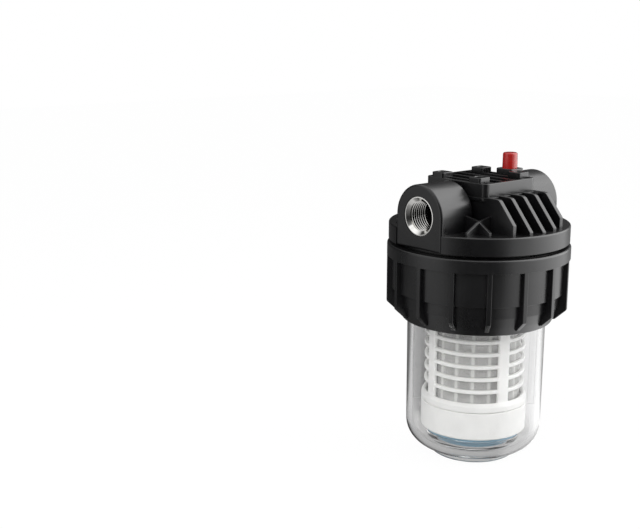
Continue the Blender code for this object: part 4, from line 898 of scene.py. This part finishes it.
# %% Cartridge cage
cage_low, cage_high = reach("cartridge_cage")
CAGE_R, CAGE_WALL, TAPER_H = 33.0, 2.3, 2.4
CAP_R = cage_high.y
HOOP_H, HOOP_PITCH, HOOP_COUNT = 2.5, 8.25, 9
POSTS, POST_ANGLE = 4, -103.5
POST_STEPS, WINDOW_STEPS = 6, 33
CAGE_STEPS = POSTS * (POST_STEPS + WINDOW_STEPS)
HALF_POST = POST_STEPS / 2 * 360.0 / CAGE_STEPS
WINDOW_Z = cage_low.z + 6.3
levels = [(CAP_R, cage_low.z), (CAP_R, WINDOW_Z - TAPER_H), (CAGE_R, WINDOW_Z)]
windows = []
for hoop in range(HOOP_COUNT):
    hoop_z = WINDOW_Z + (hoop + 1) * HOOP_PITCH - HOOP_H
    windows.append((levels[-1][1], hoop_z))
    levels += [(CAGE_R, hoop_z), (CAGE_R, hoop_z + HOOP_H)]
windows.append((levels[-1][1], levels[-1][1] + HOOP_PITCH - HOOP_H))
levels += [(CAGE_R, windows[-1][1]), (CAGE_R, cage_high.z)]
cage = turned("outer_cage", levels, steps=CAGE_STEPS, start=math.radians(POST_ANGLE - HALF_POST),
              closed=False)


def windowed(piece, bars, first_angle, half_bar, heights, wall):
    """Delete the faces between upright bars at the windows' heights and thicken the rest inwards."""
    def in_window(place):
        turn = (math.degrees(math.atan2(place.y, place.x)) - first_angle) % (360.0 / bars)
        between = half_bar < turn < 360.0 / bars - half_bar
        return between and any(low < place.z / MM < high for low, high in heights)

    bpy.ops.object.mode_set(mode="EDIT")
    pick(piece, in_window, kind="FACE")
    bpy.ops.mesh.delete(type="FACE")
    bpy.ops.object.mode_set(mode="OBJECT")
    return apply(piece, "SOLIDIFY", thickness=wall * MM, offset=-1.0, use_even_offset=True)


soften(windowed(cage, POSTS, POST_ANGLE, HALF_POST, windows, CAGE_WALL), 0.7)
dress(cage, "bowl", "white_polypropylene", white_pp, "cartridge_cage", angle=40)

# %% [markdown]
# The inner frame is made the same way: eighteen thin bars between plain bands, with one hoop
# half-way up.

# %% Cartridge core and sleeve
core_low, core_high = reach("cartridge_core")
CORE_R, CORE_WALL, CORE_HOOP_H = core_high.y, 3.0, 3.0
BAR_STEPS, GAP_STEPS = 4, 13
CORE_STEPS = CORE_BARS * (BAR_STEPS + GAP_STEPS)
HALF_BAR = BAR_STEPS / 2 * 360.0 / CORE_STEPS
core_top = windows[-1][1]
core_middle = (WINDOW_Z + core_top) / 2
core_windows = [(WINDOW_Z, core_middle - CORE_HOOP_H / 2), (core_middle + CORE_HOOP_H / 2, core_top)]
core_levels = [(CORE_R, z) for z in (core_low.z, *core_windows[0], *core_windows[1], core_high.z)]
core = turned("inner_bars", core_levels, steps=CORE_STEPS, start=math.radians(BAR_ANGLE - HALF_BAR),
              closed=False)
windowed(core, CORE_BARS, BAR_ANGLE, HALF_BAR, core_windows, CORE_WALL)
dress(core, "bowl", "white_polypropylene", white_pp, "cartridge_core")

SLEEVE_IN_R = SLEEVE_R - 0.3
sleeve = turned("woven_sleeve", [(SLEEVE_IN_R, sleeve_low.z), (SLEEVE_R, sleeve_low.z),
                                 (SLEEVE_R, sleeve_high.z), (SLEEVE_IN_R, sleeve_high.z)], steps=120)
dress(sleeve, "bowl", "woven_mesh", woven_mesh, "mesh_sleeve")
sleeve.visible_shadow = False

# %% [markdown]
# The caps close the cartridge at both ends. The bottom cap is the broad white band at its foot,
# and below it the blue gasket sits on the bowl's stand, with a lip that hangs down inside it.

# %% Caps and gaskets
cap_low, cap_high = reach("cartridge_bottom_cap")
CAP_WALL, CAP_T = 3.2, 2.8
bottom_cap = turned("bottom_cap", rounded(
    (0.0, cap_low.z), (CAP_R, cap_low.z, 1.6), (CAP_R, cap_high.z, 0.3),
    (CAP_R - CAP_WALL, cap_high.z, 0.3), (CAP_R - CAP_WALL, cap_low.z + CAP_T),
    (0.0, cap_low.z + CAP_T)), closed=False)
dress(bottom_cap, "bowl", "white_polypropylene", white_pp, "cartridge_bottom_cap")

top_low, top_high = reach("cartridge_top_cap")
TOP_R, TOP_Z, TOP_HOLE_R = top_high.y, top_high.z - 2.2, 11.0
GASKET_R, GASKET_HOLE_R = gasket_high.y, 11.3
RAISED_IN_R, RAISED_OUT_R = GASKET_R + 0.3, GASKET_R + 2.3
top_cap = turned("top_cap", rounded(
    (TOP_HOLE_R, TOP_Z - CAP_T), (TOP_R - CAP_WALL, TOP_Z - CAP_T),
    (TOP_R - CAP_WALL, top_low.z, 0.3), (TOP_R, top_low.z, 0.3), (TOP_R, TOP_Z, 1.6),
    (RAISED_OUT_R, TOP_Z), (RAISED_OUT_R, top_high.z, 0.4), (RAISED_IN_R, top_high.z, 0.4),
    (RAISED_IN_R, TOP_Z), (TOP_HOLE_R, TOP_Z)))
dress(top_cap, "bowl", "white_polypropylene", white_pp, "cartridge_top_cap")

BLUE_OUT_R = STAND_R - STAND_W - 0.3
BLUE_IN_R, BLUE_Z = BLUE_OUT_R - 1.8, lower_low.z - 6.0
blue_gasket = turned("blue_seat_gasket", rounded(
    (BLUE_IN_R, BLUE_Z, 0.4), (BLUE_OUT_R, BLUE_Z, 0.4), (BLUE_OUT_R, lower_low.z),
    (lower_high.y, lower_low.z, 0.3), (lower_high.y, lower_high.z, 0.3), (BLUE_IN_R, lower_high.z, 0.5)))
dress(blue_gasket, "bowl", "blue_gasket", blue_silicone, "lower_gasket")
top_gasket = turned("top_gasket", rounded(
    (GASKET_HOLE_R, gasket_low.z, 0.4), (GASKET_R, gasket_low.z, 0.4), (GASKET_R, gasket_high.z, 0.4),
    (GASKET_HOLE_R, gasket_high.z, 0.4)))
dress(top_gasket, "bowl", "black_rubber", seal_rubber, "upper_gasket")

# %% [markdown]
# ## Hidden works
#
# The seals, the slip ring and the valve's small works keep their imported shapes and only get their
# materials. They show when the collar is down or through a port.

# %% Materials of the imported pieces
kept = {
    "bowl_o_ring": seal_rubber, "inlet_insert_o_ring": seal_rubber,
    "outlet_insert_o_ring": seal_rubber, "relief_stem_o_ring": seal_rubber,
    "relief_valve_disc": seal_rubber, "relief_stem": wire_steel,
    "relief_stem_clip": wire_steel, "relief_gland_bush": white_pp, "slip_ring": white_pp,
}
for node, paint in kept.items():
    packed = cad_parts[node]
    packed.data.materials.clear()
    packed.data.materials.append(paint)
print("packed pieces kept:", len(kept))

# %% [markdown]
# ## Stage, light and camera
#
# The filter stands on a white floor in a white room. The camera always sees both at full white.
# Glossy black plastic, though, is drawn by what it mirrors, and clear plastic by what it bends
# towards itself. Photographers place softboxes for the one and black flags for the other. So the
# room has two more sets of tones around the filter, under a pale ceiling. Mirror images see it
# bright on the right, dim on the left and dark towards the camera and behind the filter. Clear
# plastic sees a dark flag behind on the left, and it sees the floor shaded close to the filter.

# %% Floor and room
GLOSS_TONES = ((-180, 0.22), (-168, 0.1), (-152, 0.01), (-110, 0.01), (-92, 0.65), (-40, 1.0),
               (-14, 0.8), (6, 0.15), (48, 0.02), (112, 0.02), (138, 0.1), (160, 0.26), (180, 0.22))
CLEAR_TONES = ((-20, 0.8), (32, 0.7), (42, 0.9), (50, 0.7), (60, 0.15), (76, 0.2), (92, 0.75))
WHITE = (1.0, 1.0, 1.0, 1.0)
GLOSS_LIGHT, ROOM_LIGHT, CEILING_LIGHT = 2.4, 0.9, 0.6
CEILING_FROM, CEILING_TO = 0.5, 0.75
SHADE_IN_R, SHADE_OUT_R, SHADE_TONE = 35.0, 110.0, 0.6
FLOOR_SIDE, FLOOR_SHARE = 6.0, 0.95


def tone_around(tree, place, tones):
    """A tone that changes with the direction around the filter, in degrees, under a pale ceiling."""
    angle, height = around_and_up(tree, place)
    turn = add(tree, "ShaderNodeMapRange", {"From Min": -math.pi, "From Max": math.pi},
               {"Value": angle})
    ramp = add(tree, "ShaderNodeValToRGB", links={"Fac": turn.outputs["Result"]})
    ramp.color_ramp.interpolation = "EASE"
    stops = ramp.color_ramp.elements
    while len(stops) < len(tones):
        stops.new(0.5)
    for stop, (degrees, tone) in zip(stops, tones):
        stop.position = (degrees + 180.0) / 360.0
        stop.color = (tone, tone, tone, 1.0)
    up = add(tree, "ShaderNodeMapRange",
             {"From Min": CEILING_FROM, "From Max": CEILING_TO, "To Max": CEILING_LIGHT},
             {"Value": height})
    ceiling = add(tree, "ShaderNodeMath", links={0: ramp.outputs["Color"], 1: up.outputs["Result"]},
                  operation="MAXIMUM")
    return ceiling.outputs[0]


def seen_light(tree, place, lit, light_kind, share, shade=None):
    """Mix what is lit with white for the camera, and with the room's tones for gloss and clear."""
    path = add(tree, "ShaderNodeLightPath")
    result = lit
    for ray, tones, strength in (("Is Camera Ray", None, 1.0), ("Is Glossy Ray", GLOSS_TONES, GLOSS_LIGHT),
                                 ("Is Transmission Ray", CLEAR_TONES, 1.0)):
        light = add(tree, light_kind, {"Color": WHITE, "Strength": strength})
        if tones:
            tone = tone_around(tree, place, tones)
            if shade:
                tone = add(tree, "ShaderNodeMath", links={0: tone, 1: shade},
                           operation="MULTIPLY").outputs[0]
            tree.links.new(tone, light.inputs["Color"])
        amount = add(tree, "ShaderNodeMath", {1: share}, {0: path.outputs[ray]}, operation="MULTIPLY")
        mix = add(tree, "ShaderNodeMixShader", links={"Fac": amount.outputs[0], 1: result,
                                                      2: light.outputs[0]})
        result = mix.outputs[0]
    return result


bpy.ops.mesh.primitive_plane_add(size=FLOOR_SIDE)
floor = bpy.context.object
floor.name = "floor"
white_paper, tree, paper, place = new_material("white_paper", {"Base Color": srgb("#fafafa"),
                                                               "Roughness": 0.9})
away = add(tree, "ShaderNodeVectorMath", links={0: place}, operation="LENGTH")
shade = add(tree, "ShaderNodeMapRange",
            {"From Min": SHADE_IN_R * MM, "From Max": SHADE_OUT_R * MM, "To Min": SHADE_TONE},
            {"Value": away.outputs["Value"]}, interpolation_type="SMOOTHSTEP").outputs["Result"]
seen = seen_light(tree, place, paper.outputs[0], "ShaderNodeEmission", FLOOR_SHARE, shade)
tree.links.new(seen, tree.nodes["Material Output"].inputs["Surface"])
floor.data.materials.append(white_paper)
floor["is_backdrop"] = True
print("floor:", FLOOR_SIDE, "m wide")

room = bpy.data.worlds.new("white_room")
bpy.context.scene.world = room
room.use_nodes = True
tree = room.node_tree
lit = tree.nodes["Background"]
lit.inputs["Color"].default_value = WHITE
lit.inputs["Strength"].default_value = ROOM_LIGHT
place = add(tree, "ShaderNodeTexCoord").outputs["Generated"]
seen = seen_light(tree, place, lit.outputs[0], "ShaderNodeBackground", share=1.0)
tree.links.new(seen, tree.nodes["World Output"].inputs["Surface"])

# %% Lamps
TARGET = Vector((0.0, 0.0, 0.11))


def softbox(name, degrees, distance, height, width, tall, watts):
    """A rectangular area lamp around the filter, aimed at it and hidden from the camera."""
    turn = math.radians(degrees)
    bpy.ops.object.light_add(type="AREA")
    lamp = bpy.context.object
    lamp.name = name
    lamp.data.shape = "RECTANGLE"
    lamp.data.size, lamp.data.size_y, lamp.data.energy = width, tall, watts
    lamp.visible_camera = False
    lamp.location = (distance * math.cos(turn), distance * math.sin(turn), height)
    lamp.rotation_euler = (TARGET - lamp.location).to_track_quat("-Z", "Y").to_euler()
    return lamp


for name, *numbers in (("right_reflection", -38.0, 0.55, 0.47, 1.1, 1.0, 7.5),
                       ("left_reflection", 160.0, 0.60, 0.30, 0.62, 0.60, 0.7)):
    lamp = softbox(name, *numbers)
    lamp.visible_diffuse = lamp.visible_transmission = False
for name, *numbers in (("right_softbox", -45.0, 0.9, 0.50, 0.6, 0.9, 4.5),
                       ("left_softbox", -165.0, 0.7, 0.55, 0.6, 0.6, 3.4)):
    lamp = softbox(name, *numbers)
    lamp.visible_glossy = False
print("lamps: two for mirror images, two for the light itself")

# %% [markdown]
# The camera looks slightly down on the filter from its left. Its place was worked out from the
# photograph's round edges, so the picture's perspective is the photograph's.

# %% Camera
CAMERA_PLACE = (-501.343, -451.122, 280.256)
CAMERA_TURN = (77.0328, 0.0974, -39.2771)
bpy.ops.object.camera_add()
camera = bpy.context.object
camera.location = Vector(CAMERA_PLACE) * MM
camera.rotation_euler = [math.radians(angle) for angle in CAMERA_TURN]
camera.data.sensor_width = 36.0
camera.data.lens = 58.945
bpy.context.scene.camera = camera
bpy.context.scene.view_settings.view_transform = "Standard"

# %% [markdown]
# Last, the dressed filter's size is printed.

# %% Print the size and finish
low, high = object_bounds()
print("dressed filter:", [round(side / MM, 1) for side in high - low], "mm")
